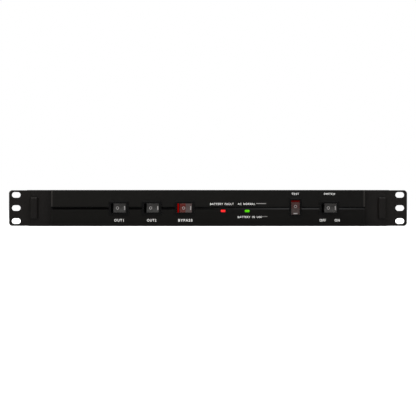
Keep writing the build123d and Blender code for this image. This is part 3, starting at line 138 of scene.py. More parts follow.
bpy.ops.object.select_all(action="DESELECT")
bpy.ops.mesh.primitive_plane_add(size=floor_size, location=(0, 0, cad_low.z - floor_gap))
studio_floor = bpy.context.object
studio_floor.name = "studio_floor"
floor_paint = bpy.data.materials.new("matt_floor_paint")
floor_paint.use_nodes = True
tree = floor_paint.node_tree
tree.nodes.clear()
ray = add_node(tree, "ShaderNodeLightPath")
matt = add_node(tree, "ShaderNodeBsdfDiffuse", {"Color": linear(floor_shade)})
spot = add_node(tree, "ShaderNodeTexCoord")
away = add_node(tree, "ShaderNodeVectorMath", {"operation": "LENGTH"}, {0: spot.outputs["Object"]})
fade = ramp(tree, away.outputs["Value"], lit_reach, white_reach, low=floor_lift, high=1.0)
glow = add_node(
    tree, "ShaderNodeMath", {"operation": "MULTIPLY"}, {0: ray.outputs["Is Camera Ray"], 1: fade}
)
lift = add_node(tree, "ShaderNodeEmission", {"Color": (1, 1, 1, 1)}, {"Strength": glow.outputs[0]})
both = add_node(tree, "ShaderNodeAddShader", links={0: matt.outputs[0], 1: lift.outputs[0]})
add_node(tree, "ShaderNodeOutputMaterial", links={"Surface": both.outputs[0]})
studio_floor.data.materials.append(floor_paint)

lamp_list = [
    # name, place, width, height, watts
    ("key_lamp", (-1.5, -1.5, 1.9), 1.2, 1.2, 50.0),
    ("fill_lamp", (1.7, -1.7, 1.5), 1.4, 1.0, 34.0),
    ("strip_lamp", (0.16, -1.07, 1.19), 0.18, 0.3, 0.68),
    ("top_lamp", (0.0, -0.2, 1.7), 1.8, 0.5, 7.0),
    ("rear_lamp_left", (-1.5, 2.4, 1.6), 1.4, 1.2, 44.0),
    ("rear_lamp_right", (1.7, 2.2, 1.5), 1.4, 1.2, 44.0),
]
for name, place, width, height, watts in lamp_list:
    bpy.ops.object.light_add(type="AREA", location=place)
    lamp = bpy.context.object
    lamp.name = name
    lamp.data.shape = "RECTANGLE"
    lamp.data.size = width
    lamp.data.size_y = height
    lamp.data.energy = watts
    towards_middle = Vector((place[0] * 0.1, 0.0, 0.0)) - Vector(place)
    lamp.rotation_euler = towards_middle.to_track_quat("-Z", "Y").to_euler()


def new_material(name):
    """An empty node material with its shader, and the place on the piece that its patterns read."""
    material = bpy.data.materials.new(name)
    material.use_nodes = True
    tree = material.node_tree
    place = add_node(tree, "ShaderNodeTexCoord").outputs["Object"]
    return material, tree, tree.nodes["Principled BSDF"], place


def give_finish(material, *nodes):
    """Puts a finish on CAD nodes, in place of the plain one that they are packed with."""
    for node in nodes:
        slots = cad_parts[node].data.materials
        slots.clear()
        slots.append(material)


def coat_steel(name, shade, pale_shade, peel, roughness, edge, level=0.3):
    """Baked powder coat on sheet steel: matt, with a fine orange peel that breaks up its highlights."""
    material, tree, shader, place = new_material(name)
    drift = add_node(tree, "ShaderNodeTexNoise", {"Scale": 0.2 / peel, "Detail": 3.0}, {"Vector": place})
    grain = add_node(tree, "ShaderNodeTexNoise", {"Scale": 1.0 / peel, "Detail": 2.0}, {"Vector": place})
    tone = blend(tree, drift.outputs[0], shade, pale_shade)
    gloss = ramp(tree, grain.outputs[0], 0.3, 0.7, low=roughness - 0.05, high=roughness + 0.05)
    soft_edge = add_node(tree, "ShaderNodeBevel", {"samples": 4, "Radius": edge})
    bumps = add_node(
        tree,
        "ShaderNodeBump",
        {"Strength": 0.25, "Distance": 0.05 * mm},
        {"Height": grain.outputs[0], "Normal": soft_edge.outputs[0]},
    )
    tree.links.new(tone, shader.inputs["Base Color"])
    tree.links.new(gloss, shader.inputs["Roughness"])
    tree.links.new(bumps.outputs[0], shader.inputs["Normal"])
    shader.inputs["IOR"].default_value = 1.5
    shader.inputs["Specular IOR Level"].default_value = level
    return material


# Tray and cover: 1.2 mm and 1 mm sheet steel, punched, folded and powder coated black. The cover drops over
# the tray's walls. The coat is matt, so their tops and sides stay even.
chassis_coat = coat_steel("black_powder_coat_chassis", "#131314", "#1a1a1b", 0.9 * mm, 0.52, 0.4 * mm, 0.2)
give_finish(chassis_coat, "chassis_tray", "top_cover")

# Front plate: 2.5 mm steel with the rack ears and their slots, in the same powder coat, a little warmer
# beside the plastic.
plate_coat = coat_steel("black_powder_coat_plate", "#151312", "#181614", 0.7 * mm, 0.42, 0.5 * mm, 0.12)
give_finish(plate_coat, "front_plate")


def mould_plastic(name, shade, pale_shade, spark, roughness, edge, level=0.3):
    """Injection moulded plastic from a spark-eroded tool: an even fine grain that keeps it satin."""
    material, tree, shader, place = new_material(name)
    grain = add_node(tree, "ShaderNodeTexNoise", {"Scale": 1.0 / spark, "Detail": 3.0}, {"Vector": place})
    flow = add_node(tree, "ShaderNodeTexNoise", {"Scale": 0.02 / spark, "Detail": 1.0}, {"Vector": place})
    tone = blend(tree, flow.outputs[0], shade, pale_shade)
    gloss = ramp(tree, grain.outputs[0], 0.3, 0.7, low=roughness - 0.04, high=roughness + 0.04)
    soft_edge = add_node(tree, "ShaderNodeBevel", {"samples": 4, "Radius": edge})
    bumps = add_node(
        tree,
        "ShaderNodeBump",
        {"Strength": 0.2, "Distance": 0.03 * mm},
        {"Height": grain.outputs[0], "Normal": soft_edge.outputs[0]},
    )
    tree.links.new(tone, shader.inputs["Base Color"])
    tree.links.new(gloss, shader.inputs["Roughness"])
    tree.links.new(bumps.outputs[0], shader.inputs["Normal"])
    shader.inputs["IOR"].default_value = 1.5
    shader.inputs["Specular IOR Level"].default_value = level
    return material


# Ear trims: thin black ABS mouldings on the ears, each with a raised finger grip. They are a shade paler
# than the bezel, and satin. A paler tone on the grips' upper edges stands for the light that they catch.
grip_edge_shade = "#484644"
trim_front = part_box("ear_trim_left")[0].y
trim_plastic = mould_plastic("satin_black_abs_trim", "#131110", "#171514", 0.5 * mm, 0.36, 0.3 * mm, 0.14)
tree = trim_plastic.node_tree
shader = tree.nodes["Principled BSDF"]
coordinates = add_node(tree, "ShaderNodeTexCoord")
spot = add_node(tree, "ShaderNodeSeparateXYZ", links={0: coordinates.outputs["Object"]})
tilt = add_node(tree, "ShaderNodeSeparateXYZ", links={0: coordinates.outputs["Normal"]})
upward = ramp(tree, tilt.outputs["Z"], 0.1, 0.3)
outward = ramp(tree, spot.outputs["Y"], trim_front + 0.6 * mm, trim_front + 0.7 * mm, low=1.0, high=0.0)
lit_edge = add_node(tree, "ShaderNodeMath", {"operation": "MULTIPLY"}, {0: upward, 1: outward})
tone = blend(tree, lit_edge.outputs[0], shader.inputs["Base Color"].links[0].from_socket, grip_edge_shade)
tree.links.new(tone, shader.inputs["Base Color"])
give_finish(trim_plastic, "ear_trim_left", "ear_trim_right")

# Bezel: one black ABS shell with bevelled edges and a long groove, held by eight screws from behind. Its
# face is spark eroded and satin, and its tones above and below the groove stand for the photograph's light.
# The groove is painted near black, a painted shade in its deep slit, and the polished slope under it mirrors
# the strip lamp towards its right end. Each half is painted darker towards the right end, a painted shade,
# and the end bevels above the groove carry a painted highlight.
bezel_above = "#11100e"
# The right-end tones are painted shade: each half darkens towards the right end.
bezel_above_right = "#0c0b0a"
bezel_below = "#0b0a08"
bezel_below_right = "#070605"
bezel_reach = 0.19
# Painted highlight on the end bevels above the groove.
bezel_end_highlight = "#2c2a28"
# Painted shade: the groove's slit and slope are painted near black.
groove_painted_shade = "#020202"
slit_top = 1.5 * mm
slit_low = 0.15 * mm
slope_low = -1.85 * mm
slope_gloss = 0.17
bevel_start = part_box("front_bezel")[1].x - 2.0 * mm
step = 0.04 * mm
bezel_plastic, tree, shader, place = new_material("satin_black_abs_bezel")
grain = add_node(tree, "ShaderNodeTexNoise", {"Scale": 1 / (0.5 * mm), "Detail": 3.0}, {"Vector": place})
spot = add_node(tree, "ShaderNodeSeparateXYZ", links={0: place})
above = ramp(tree, spot.outputs["Z"], slit_top - step, slit_top + step)
over_slope = ramp(tree, spot.outputs["Z"], slope_low - step, slope_low + step)
over_slit = ramp(tree, spot.outputs["Z"], slit_low - step, slit_low + step)
in_groove = add_node(tree, "ShaderNodeMath", {"operation": "SUBTRACT"}, {0: over_slope, 1: above})
on_slope = add_node(tree, "ShaderNodeMath", {"operation": "SUBTRACT"}, {0: over_slope, 1: over_slit})
sideways = add_node(tree, "ShaderNodeMath", {"operation": "ABSOLUTE"}, {0: spot.outputs["X"]})
at_end = ramp(tree, sideways.outputs[0], bevel_start - step, bevel_start + step)
# Painted highlight: the end bevels above the groove are painted paler.
end_highlight_zone = add_node(tree, "ShaderNodeMath", {"operation": "MULTIPLY"}, {0: at_end, 1: above})
# Painted shade: both halves are painted darker towards the right end.
rightward = ramp(tree, spot.outputs["X"], -bezel_reach, bezel_reach)
above_tone = blend(tree, rightward, bezel_above, bezel_above_right)
below_tone = blend(tree, rightward, bezel_below, bezel_below_right)
halves = blend(tree, above, below_tone, above_tone)
with_groove = blend(tree, in_groove.outputs[0], halves, groove_painted_shade)
with_ends = blend(tree, end_highlight_zone.outputs[0], with_groove, bezel_end_highlight)
face_gloss = ramp(tree, grain.outputs[0], 0.3, 0.7, low=0.32, high=0.4)
gloss = add_node(
    tree,
    "ShaderNodeMix",
    {3: slope_gloss},
    {0: on_slope.outputs[0], 2: face_gloss},
)
soft_edge = add_node(tree, "ShaderNodeBevel", {"samples": 4, "Radius": 0.3 * mm})
bumps = add_node(
    tree,
    "ShaderNodeBump",
    {"Strength": 0.15, "Distance": 0.03 * mm},
    {"Height": grain.outputs[0], "Normal": soft_edge.outputs[0]},
)
tree.links.new(with_ends, shader.inputs["Base Color"])
tree.links.new(gloss.outputs[0], shader.inputs["Roughness"])
tree.links.new(bumps.outputs[0], shader.inputs["Normal"])
shader.inputs["IOR"].default_value = 1.5
shader.inputs["Specular IOR Level"].default_value = 0.14
give_finish(bezel_plastic, "front_bezel")

# Switch housings: black glass-filled nylon, moulded smooth, with a bevelled flange that seats on the bezel.
housing_nylon = mould_plastic(
    "smooth_black_nylon_housing", "#080808", "#0c0c0c", 0.4 * mm, 0.3, 0.25 * mm, 0.1
)
switch_names = ["output1", "output2", "bypass", "test", "power"]
give_finish(housing_nylon, *[f"{name}_switch_housing" for name in switch_names])

# Rockers: glossy polycarbonate mouldings that turn in the housings on their own pins. Each half of a face has
# the tone that it catches in the photograph, a painted sheen over the plastic's colour. The red ones' end
# walls carry a painted glow. Each is a copy of its solid with rounded edges.
rocker_looks = {
    # name, O half, I half (both painted sheen), end wall, painted glow in the end wall, where the face starts
    # The grey ones are black plastic under a painted grey sheen.
    "grey": ("#302f2e", "#31302f", "#030303", "#000000", -5.8 * mm),
    "red": ("#57221d", "#4d4140", "#200202", "#8a0301", -5.8 * mm),
    "deep_red": ("#3b1d1a", "#3a2e2c", "#1a0202", "#4c0604", -6.7 * mm),
}
rocker_colours = {"output1": "grey", "output2": "grey", "bypass": "red", "test": "deep_red", "power": "grey"}
rocker_edge = 0.25 * mm
rocker_tilt = math.radians(9.0)


def mould_rocker(name, o_half_with_sheen, i_half_with_sheen, wall_shade, painted_glow_shade, crest, centre, along):
    """Glossy rocker plastic: its halves carry painted sheens of different shade; its end wall is darker, with
    a painted glow.
    """
    material, tree, shader, place = new_material(name)
    swirl = add_node(tree, "ShaderNodeTexNoise", {"Scale": 1 / (3 * mm), "Detail": 2.0}, {"Vector": place})
    from_centre = add_node(
        tree, "ShaderNodeVectorMath", {"operation": "SUBTRACT", 1: centre}, {0: place}
    )
    reach = add_node(
        tree, "ShaderNodeVectorMath", {"operation": "DOT_PRODUCT", 1: along}, {0: from_centre.outputs[0]}
    )
    valley = 1.1 * mm
    # Painted sheen: each half of the face gets its own painted tone.
    half = ramp(tree, reach.outputs["Value"], valley - 0.3 * mm, valley + 0.3 * mm)
    face = blend(tree, half, o_half_with_sheen, i_half_with_sheen)
    wall = ramp(tree, reach.outputs["Value"], crest - 0.15 * mm, crest + 0.15 * mm)
    body = blend(tree, wall, wall_shade, face)
    # Painted glow on the end wall out to wall_edge; from there to the crest a dark band without glow.
    wall_edge = -6.9 * mm
    lit = ramp(
        tree, reach.outputs["Value"], wall_edge - 0.15 * mm, wall_edge + 0.15 * mm, low=1.0, high=0.0
    )
    gloss = ramp(tree, swirl.outputs[0], 0.3, 0.7, low=0.2, high=0.28)
    tree.links.new(body, shader.inputs["Base Color"])
    tree.links.new(gloss, shader.inputs["Roughness"])
    tree.links.new(lit, shader.inputs["Emission Strength"])
    shader.inputs["Emission Color"].default_value = linear(painted_glow_shade)
    shader.inputs["IOR"].default_value = 1.58
    shader.inputs["Specular IOR Level"].default_value = 0.25
    return material


for name in switch_names:
    node = f"{name}_rocker"
    low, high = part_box(f"{name}_switch_housing")
    centre = Vector(((low.x + high.x) / 2, 0.0, (low.z + high.z) / 2))
    along = Vector((0, 0, -1)) if name == "test" else Vector((1, 0, 0))
    plastic = mould_rocker(f"gloss_polycarbonate_{node}", *rocker_looks[rocker_colours[name]], centre, along)
    bpy.ops.object.select_all(action="DESELECT")
    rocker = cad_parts[node].copy()
    rocker.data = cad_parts[node].data.copy()
    for key in list(rocker.keys()):
        del rocker[key]
    rocker.parent = None
    rocker.name = f"{name}_rocker_moulding"
    bpy.context.scene.collection.objects.link(rocker)
    rocker.select_set(True)
    bpy.context.view_layer.objects.active = rocker
    bpy.ops.object.mode_set(mode="EDIT")
    bpy.ops.mesh.select_all(action="SELECT")
    bpy.ops.mesh.remove_doubles(threshold=0.01 * mm)
    bpy.ops.mesh.dissolve_limited(angle_limit=math.radians(0.5))
    bpy.ops.object.mode_set(mode="OBJECT")
    bevel = rocker.modifiers.new("edge_round", "BEVEL")
    bevel.width = rocker_edge
    bevel.segments = 3
    bevel.limit_method = "ANGLE"
    bevel.angle_limit = math.radians(50)
    bpy.ops.object.modifier_apply(modifier="edge_round")
    bpy.ops.object.shade_smooth_by_angle(angle=math.radians(30))
    rocker.data.materials.clear()
    rocker.data.materials.append(plastic)
    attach(rocker, node)
    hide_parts(node)

# Marks on the rockers: a ring for off and a bar for on, hot stamped in pale grey. Each lies on its half of
# the face and turns with the rocker.
mark_shade = "#8f8c8b"
mark_thickness = 0.06 * mm
ring_outer = 1.85 * mm
ring_line = 0.6 * mm
ring_reach = -1.25 * mm
bar_width = 1.3 * mm
bar_length = 4.7 * mm
bar_reach = 7.3 * mm
face_height = 7.0 * mm
face_y = -6.1 * mm - face_height
valley_reach = face_height * math.tan(rocker_tilt)

stamp_ink, tree, shader, place = new_material("pale_grey_stamping_foil")
foil_wear = add_node(tree, "ShaderNodeTexNoise", {"Scale": 1 / (0.6 * mm), "Detail": 2.0}, {"Vector": place})
foil_gloss = ramp(tree, foil_wear.outputs[0], low=0.35, high=0.55)
shader.inputs["Base Color"].default_value = linear(mark_shade)
tree.links.new(foil_gloss, shader.inputs["Roughness"])


def finish_piece(piece, name, material, body):
    """Puts a new piece's place into its mesh, gives it its material and lets it ride on its body."""
    bpy.ops.object.select_all(action="DESELECT")
    piece.select_set(True)
    bpy.context.view_layer.objects.active = piece
    bpy.ops.object.transform_apply(location=True, rotation=True, scale=True)
    piece.name = name
    piece.data.name = name
    piece.data.materials.clear()
    piece.data.materials.append(material)
    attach(piece, body)


for name in switch_names:
    low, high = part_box(f"{name}_switch_housing")
    centre = Vector(((low.x + high.x) / 2, 0.0, (low.z + high.z) / 2))
    turn = Matrix.Rotation(math.radians(90), 4, "Y") if name == "test" else Matrix.Identity(4)
    slope = 2 * rocker_tilt
    ring_place = Vector((ring_reach, face_y + (ring_reach - valley_reach) * math.tan(slope), 0.0))
    bar_place = Vector((bar_reach, face_y, 0.0))

    bpy.ops.object.select_all(action="DESELECT")
    bpy.ops.mesh.primitive_cylinder_add(
        vertices=48, radius=ring_outer, depth=mark_thickness, rotation=(math.radians(90), 0, 0)
    )
    ring = bpy.context.object
    bpy.ops.object.transform_apply(location=False, rotation=True, scale=False)
    bpy.ops.object.mode_set(mode="EDIT")
    bpy.ops.mesh.select_all(action="DESELECT")
    bpy.ops.object.mode_set(mode="OBJECT")
    bpy.context.scene.tool_settings.mesh_select_mode = (False, False, True)
    for face in ring.data.polygons:
        face.select = abs(face.normal.y) > 0.9
    bpy.ops.object.mode_set(mode="EDIT")
    bpy.ops.mesh.inset(thickness=ring_line)
    bpy.ops.mesh.bridge_edge_loops()
    bpy.ops.object.mode_set(mode="OBJECT")
    lean = Matrix.Rotation(slope, 4, "Z")
    ring.matrix_world = Matrix.Translation(centre) @ turn @ Matrix.Translation(ring_place) @ lean
    finish_piece(ring, f"{name}_off_ring", stamp_ink, f"{name}_rocker")

    bpy.ops.object.select_all(action="DESELECT")
    bpy.ops.mesh.primitive_cube_add(size=1.0, scale=(bar_width, mark_thickness, bar_length))
    bar = bpy.context.object
    bpy.ops.object.transform_apply(location=False, rotation=False, scale=True)
    bpy.ops.object.mode_set(mode="EDIT")
    bpy.ops.mesh.select_all(action="DESELECT")
    bpy.ops.object.mode_set(mode="OBJECT")
    bpy.context.scene.tool_settings.mesh_select_mode = (False, True, False)
    for edge in bar.data.edges:
        ends = [bar.data.vertices[v].co for v in edge.vertices]
        edge.select = abs(ends[0].y - ends[1].y) > mark_thickness / 2
    bpy.ops.object.mode_set(mode="EDIT")
    bpy.ops.mesh.bevel(offset=bar_width / 4, segments=3)
    bpy.ops.object.mode_set(mode="OBJECT")
    bar.matrix_world = Matrix.Translation(centre) @ turn @ Matrix.Translation(bar_place)
    finish_piece(bar, f"{name}_on_bar", stamp_ink, f"{name}_rocker")

# Signal lamps: cast acrylic lenses, red for a fault and green for normal, that two lit chips behind them
# fill with colour. They are pressed into the bezel from behind.
lamp_looks = {"fault_lamp": ("#a51512", "#fb2b2c"), "normal_lamp": ("#2f8a00", "#53c900")}
for node, (lens_shade, lit_shade) in lamp_looks.items():
    lens, tree, shader, place = new_material(f"lit_acrylic_{node}")
    haze = add_node(tree, "ShaderNodeTexNoise", {"Scale": 1 / (1.6 * mm), "Detail": 1.0}, {"Vector": place})
    lens_tone = blend(tree, haze.outputs[0], lens_shade, lit_shade)
    lens_gloss = ramp(tree, haze.outputs[0], low=0.12, high=0.2)
    tree.links.new(lens_tone, shader.inputs["Base Color"])
    tree.links.new(lens_gloss, shader.inputs["Roughness"])
    shader.inputs["IOR"].default_value = 1.49
    shader.inputs["Specular IOR Level"].default_value = 0.15
    shader.inputs["Emission Color"].default_value = linear(lit_shade)
    low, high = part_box(node)
    spot = add_node(tree, "ShaderNodeSeparateXYZ", links={0: place})
    middle = (low.x + high.x) / 2
    aside = add_node(tree, "ShaderNodeMath", {"operation": "SUBTRACT", 1: middle}, {0: spot.outputs["X"]})
    away = add_node(tree, "ShaderNodeMath", {"operation": "ABSOLUTE"}, {0: aside.outputs[0]})
    chips = ramp(tree, away.outputs[0], 0.1 * mm, 0.8 * mm, low=0.36, high=0.46)
    tree.links.new(chips, shader.inputs["Emission Strength"])
    give_finish(lens, node)

# Lettering: plain words screen printed on the bezel in white, bold and rather wide, with a line after two
# of them. Each word is stretched to its printed width.
ink_shade = "#f4f3f1"
ink_thickness = 0.04 * mm
large_cap = 3.2 * mm
small_cap = 2.4 * mm
bezel_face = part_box("front_bezel")[0].y
word_list = [
    # word, middle, width, height above the groove, cap height
    ("OUT1", -107.8, 11.4, -14.9, large_cap),
    ("OUT2", -68.2, 11.2, -14.9, large_cap),
    ("BYPASS", -27.4, 17.2, -14.9, large_cap),
    ("OFF", 138.8, 7.6, -14.9, large_cap),
    ("ON", 156.4, 6.1, -14.9, large_cap),
    ("TEST", 105.6, 9.1, 17.0, small_cap),
    ("SWITCH", 146.8, 13.3, 17.0, small_cap),
    ("BATTERY_FAULT", 16.9, 28.4, 4.85, small_cap),
    ("AC_NORMAL", 46.6, 20.8, 4.85, small_cap),
    ("BATTERY_IN_USE", 50.5, 28.9, -10.9, small_cap),
]
screen_ink, tree, shader, place = new_material("white_screen_ink")
ink_grain = add_node(tree, "ShaderNodeTexNoise", {"Scale": 1 / (0.3 * mm), "Detail": 2.0}, {"Vector": place})
ink_gloss = ramp(tree, ink_grain.outputs[0], low=0.5, high=0.65)
shader.inputs["Base Color"].default_value = linear(ink_shade)
tree.links.new(ink_gloss, shader.inputs["Roughness"])
for word, middle, width, height, cap_height in word_list:
    bpy.ops.object.select_all(action="DESELECT")
    bpy.ops.object.text_add(rotation=(math.radians(90), 0, 0))
    text = bpy.context.object
    text.data.body = word.replace("_", " ")
    text.data.align_x = "CENTER"
    text.data.size = 1.0
    text.data.offset = 0.018 if cap_height == large_cap else 0.012
    text.data.space_character = 1.25
    text.data.space_word = 1.5
    text.data.extrude = 0.01
    text.data.resolution_u = 3
    bpy.ops.object.convert(target="MESH")
    text = bpy.context.object
    bpy.ops.object.transform_apply(location=False, rotation=True, scale=False)
    low = Vector([min(v.co[axis] for v in text.data.vertices) for axis in range(3)])
    high = Vector([max(v.co[axis] for v in text.data.vertices) for axis in range(3)])
    size = high - low
    stretch = (width * mm / size.x, ink_thickness / size.y, cap_height / size.z)
    text.data.transform(Matrix.Translation(-(low + high) / 2))
    text.scale = stretch
    text.location = (middle * mm, bezel_face - ink_thickness / 2, height * mm)
    finish_piece(text, f"word_{word.lower()}", screen_ink, "rack_unit")

dash_list = [("normal_line", 58.3, 70.2, 5.4, 1), ("in_use_line", 65.6, 71.7, -10.3, 4)]
dash_shade = "#8d8b89"
dash_height = 0.9 * mm
dash_gap = 0.35
dash_ink, tree, shader, place = new_material("grey_screen_ink")
ink_grain = add_node(tree, "ShaderNodeTexNoise", {"Scale": 1 / (0.3 * mm), "Detail": 2.0}, {"Vector": place})
ink_gloss = ramp(tree, ink_grain.outputs[0], low=0.5, high=0.65)
shader.inputs["Base Color"].default_value = linear(dash_shade)
tree.links.new(ink_gloss, shader.inputs["Roughness"])
for name, start, end, height, count in dash_list:
    gap = dash_gap if count > 1 else 0.0
    pitch = (end - start) * mm / (count - gap)
    length = pitch * (1.0 - gap)
    bpy.ops.object.select_all(action="DESELECT")
    bpy.ops.mesh.primitive_cube_add(size=1.0, scale=(length, ink_thickness, dash_height))
    dash = bpy.context.object
    bpy.ops.object.transform_apply(location=False, rotation=False, scale=True)
    if count > 1:
        row = dash.modifiers.new("dash_row", "ARRAY")
        row.count = count
        row.use_relative_offset = False
        row.use_constant_offset = True
        row.constant_offset_displace = (pitch, 0, 0)
        bpy.ops.object.modifier_apply(modifier="dash_row")
    dash.location = (start * mm + length / 2, bezel_face - ink_thickness / 2, height * mm)
    finish_piece(dash, name, dash_ink, "rack_unit")

# Boards: green glass-epoxy laminate, with copper tracks that show as paler lines under its solder mask. The
# control board stands on spacers behind the front plate, the main board on turned standoffs over the floor.
laminate, tree, shader, place = new_material("green_glass_epoxy_board")
tracks = add_node(
    tree,
    "ShaderNodeTexBrick",
    {
        "Scale": 1.0,
        "Brick Width": 9.0 * mm,
        "Row Height": 2.2 * mm,
        "Mortar Size": 0.22 * mm,
        "Mortar Smooth": 0.1,
        "Color1": linear("#0f3d20"),
        "Color2": linear("#124626"),
        "Mortar": linear("#2c6b3c"),
    },
    {"Vector": place},
)
weave = add_node(tree, "ShaderNodeTexNoise", {"Scale": 1 / (0.8 * mm), "Detail": 2.0}, {"Vector": place})
mask_gloss = ramp(tree, weave.outputs[0], low=0.22, high=0.36)
track_bump = add_node(
    tree, "ShaderNodeBump", {"Strength": 0.4, "Distance": 0.04 * mm}, {"Height": tracks.outputs["Fac"]}
)
tree.links.new(tracks.outputs["Color"], shader.inputs["Base Color"])
tree.links.new(mask_gloss, shader.inputs["Roughness"])
tree.links.new(track_bump.outputs[0], shader.inputs["Normal"])
give_finish(laminate, "control_board", "main_board")

# Buzzer: a black noryl can with a sound hole, soldered to the control board.
buzzer_plastic = mould_plastic("black_noryl_buzzer", "#101010", "#161616", 0.3 * mm, 0.38, 0.3 * mm)
give_finish(buzzer_plastic, "buzzer")

# Connectors: natural nylon headers for the ribbon and a terminal block for the battery leads. They are
# matt and slightly uneven in colour.
header_nylon = mould_plastic("natural_nylon_connectors", "#b9b3a2", "#cdc8b8", 0.5 * mm, 0.5, 0.2 * mm)
give_finish(header_nylon, "board_connectors")


def plate_metal(name, shade, pale_shade, grain, roughness, stretch=(1.0, 1.0, 1.0)):
    """Plated or bare metal: bright, with fine marks that a stretch draws out into lines."""
    material, tree, shader, place = new_material(name)
    drawn = add_node(tree, "ShaderNodeMapping", {"Scale": stretch}, {"Vector": place})
    marks = add_node(
        tree, "ShaderNodeTexNoise", {"Scale": 1 / grain, "Detail": 3.0}, {"Vector": drawn.outputs[0]}
    )
    tone = blend(tree, marks.outputs[0], shade, pale_shade)
    gloss = ramp(tree, marks.outputs[0], 0.3, 0.7, low=roughness - 0.08, high=roughness + 0.08)
    bumps = add_node(
        tree, "ShaderNodeBump", {"Strength": 0.15, "Distance": 0.02 * mm}, {"Height": marks.outputs[0]}
    )
    tree.links.new(tone, shader.inputs["Base Color"])
    tree.links.new(gloss, shader.inputs["Roughness"])
    tree.links.new(bumps.outputs[0], shader.inputs["Normal"])
    shader.inputs["Metallic"].default_value = 1.0
    return material


# Spacers and inner screws: turned steel, zinc plated and blue passivated, with a fine uneven sheen. The
# screws hold the boards, the bezel, the plate and the transformer.
zinc_steel = plate_metal("blue_zinc_plated_steel", "#8f9398", "#b9bdc1", 0.6 * mm, 0.34)
give_finish(zinc_steel, "standoffs", "board_screws", "bezel_screws", "plate_screws", "transformer_bolts")

# Ribbon cable: grey PVC over parallel wires, which show as ridges along it. It runs over the batteries.
ribbon_pvc, tree, shader, place = new_material("grey_pvc_ribbon")
ridges = add_node(
    tree,
    "ShaderNodeTexWave",
    {"wave_type": "BANDS", "bands_direction": "X", "Scale": 0.314 / (1.27 * mm), "Distortion": 0.0},
    {"Vector": place},
)
ridge_tone = blend(tree, ridges.outputs["Fac"], "#5c5e60", "#8a8c8e")
ridge_bump = add_node(
    tree, "ShaderNodeBump", {"Strength": 0.5, "Distance": 0.2 * mm}, {"Height": ridges.outputs["Fac"]}
)
tree.links.new(ridge_tone, shader.inputs["Base Color"])
tree.links.new(ridge_bump.outputs[0], shader.inputs["Normal"])
shader.inputs["Roughness"].default_value = 0.5
give_finish(ribbon_pvc, "ribbon_cable")

# Batteries: sealed lead cells in dark grey ABS cases, on foam pads. Their lids are welded on, and tinned
# terminals stand out of them.
battery_abs = mould_plastic("dark_grey_abs_battery", "#232427", "#2d2e31", 1.2 * mm, 0.55, 0.8 * mm)
give_finish(battery_abs, "battery_1", "battery_2", "battery_3", "battery_4")
pad_foam, tree, shader, place = new_material("black_foam_pads")
cells = add_node(tree, "ShaderNodeTexVoronoi", {"Scale": 1 / (0.6 * mm)}, {"Vector": place})
cell_tone = blend(tree, cells.outputs["Distance"], "#0c0c0c", "#1d1d1d")
cell_bump = add_node(
    tree, "ShaderNodeBump", {"Strength": 0.6, "Distance": 0.2 * mm}, {"Height": cells.outputs["Distance"]}
)
tree.links.new(cell_tone, shader.inputs["Base Color"])
tree.links.new(cell_bump.outputs[0], shader.inputs["Normal"])
shader.inputs["Roughness"].default_value = 0.9
give_finish(pad_foam, "battery_pads")

# Battery clamp: one strip of galvanised sheet, folded to a foot at each end. Its zinc spangle breaks up the
# light in large flakes.
clamp_zinc, tree, shader, place = new_material("galvanised_clamp_sheet")
spangle = add_node(tree, "ShaderNodeTexVoronoi", {"Scale": 1 / (5.0 * mm)}, {"Vector": place})
flake = add_node(tree, "ShaderNodeSeparateColor", links={0: spangle.outputs["Color"]})
flake_tone = blend(tree, flake.outputs[0], "#8d9296", "#b4b8bb")
flake_gloss = ramp(tree, flake.outputs[1], low=0.3, high=0.5)
tree.links.new(flake_tone, shader.inputs["Base Color"])
tree.links.new(flake_gloss, shader.inputs["Roughness"])
shader.inputs["Metallic"].default_value = 1.0
give_finish(clamp_zinc, "battery_clamp")

# Battery wiring: thick stranded wire in red PVC, satin, with the lay of the strands just showing.
wire_pvc = mould_plastic("red_pvc_battery_wire", "#7d0f0d", "#94201a", 0.9 * mm, 0.42, 0.2 * mm)
give_finish(wire_pvc, "battery_wiring")

# Heat sinks: extruded aluminium combs, plain mill finish. The die leaves lines along the fins.
mill_aluminium = plate_metal("mill_finish_aluminium", "#a4a7aa", "#c6c8ca", 0.5 * mm, 0.36, (1.0, 0.03, 1.0))
give_finish(mill_aluminium, "heatsinks")

# Power transistors: black epoxy bodies clamped to the heat sinks, faintly rough.
epoxy = mould_plastic("black_epoxy_transistors", "#121212", "#191919", 0.2 * mm, 0.5, 0.15 * mm)
give_finish(epoxy, "power_transistors")

# Storage capacitors: aluminium cans in a dark blue shrink sleeve, which leaves their pressed tops bare.
can_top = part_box("storage_capacitors")[1].z
sleeve, tree, shader, place = new_material("dark_blue_sleeve_capacitors")
spot = add_node(tree, "ShaderNodeSeparateXYZ", links={0: place})
bare = ramp(tree, spot.outputs["Z"], can_top - 0.5 * mm, can_top - 0.4 * mm)
wrinkles = add_node(tree, "ShaderNodeTexNoise", {"Scale": 1 / (2.0 * mm), "Detail": 2.0}, {"Vector": place})
sleeve_gloss = ramp(tree, wrinkles.outputs[0], low=0.18, high=0.34)
sleeve_tone = blend(tree, bare, "#0b1030", "#b3b5b7")
tree.links.new(sleeve_tone, shader.inputs["Base Color"])
tree.links.new(sleeve_gloss, shader.inputs["Roughness"])
tree.links.new(bare, shader.inputs["Metallic"])
give_finish(sleeve, "storage_capacitors")

# Relays: sealed blue polycarbonate covers, glued on their bases and soldered to the main board.
relay_plastic = mould_plastic("blue_polycarbonate_relays", "#1b3f86", "#234b98", 0.4 * mm, 0.35, 0.3 * mm)
give_finish(relay_plastic, "relays")


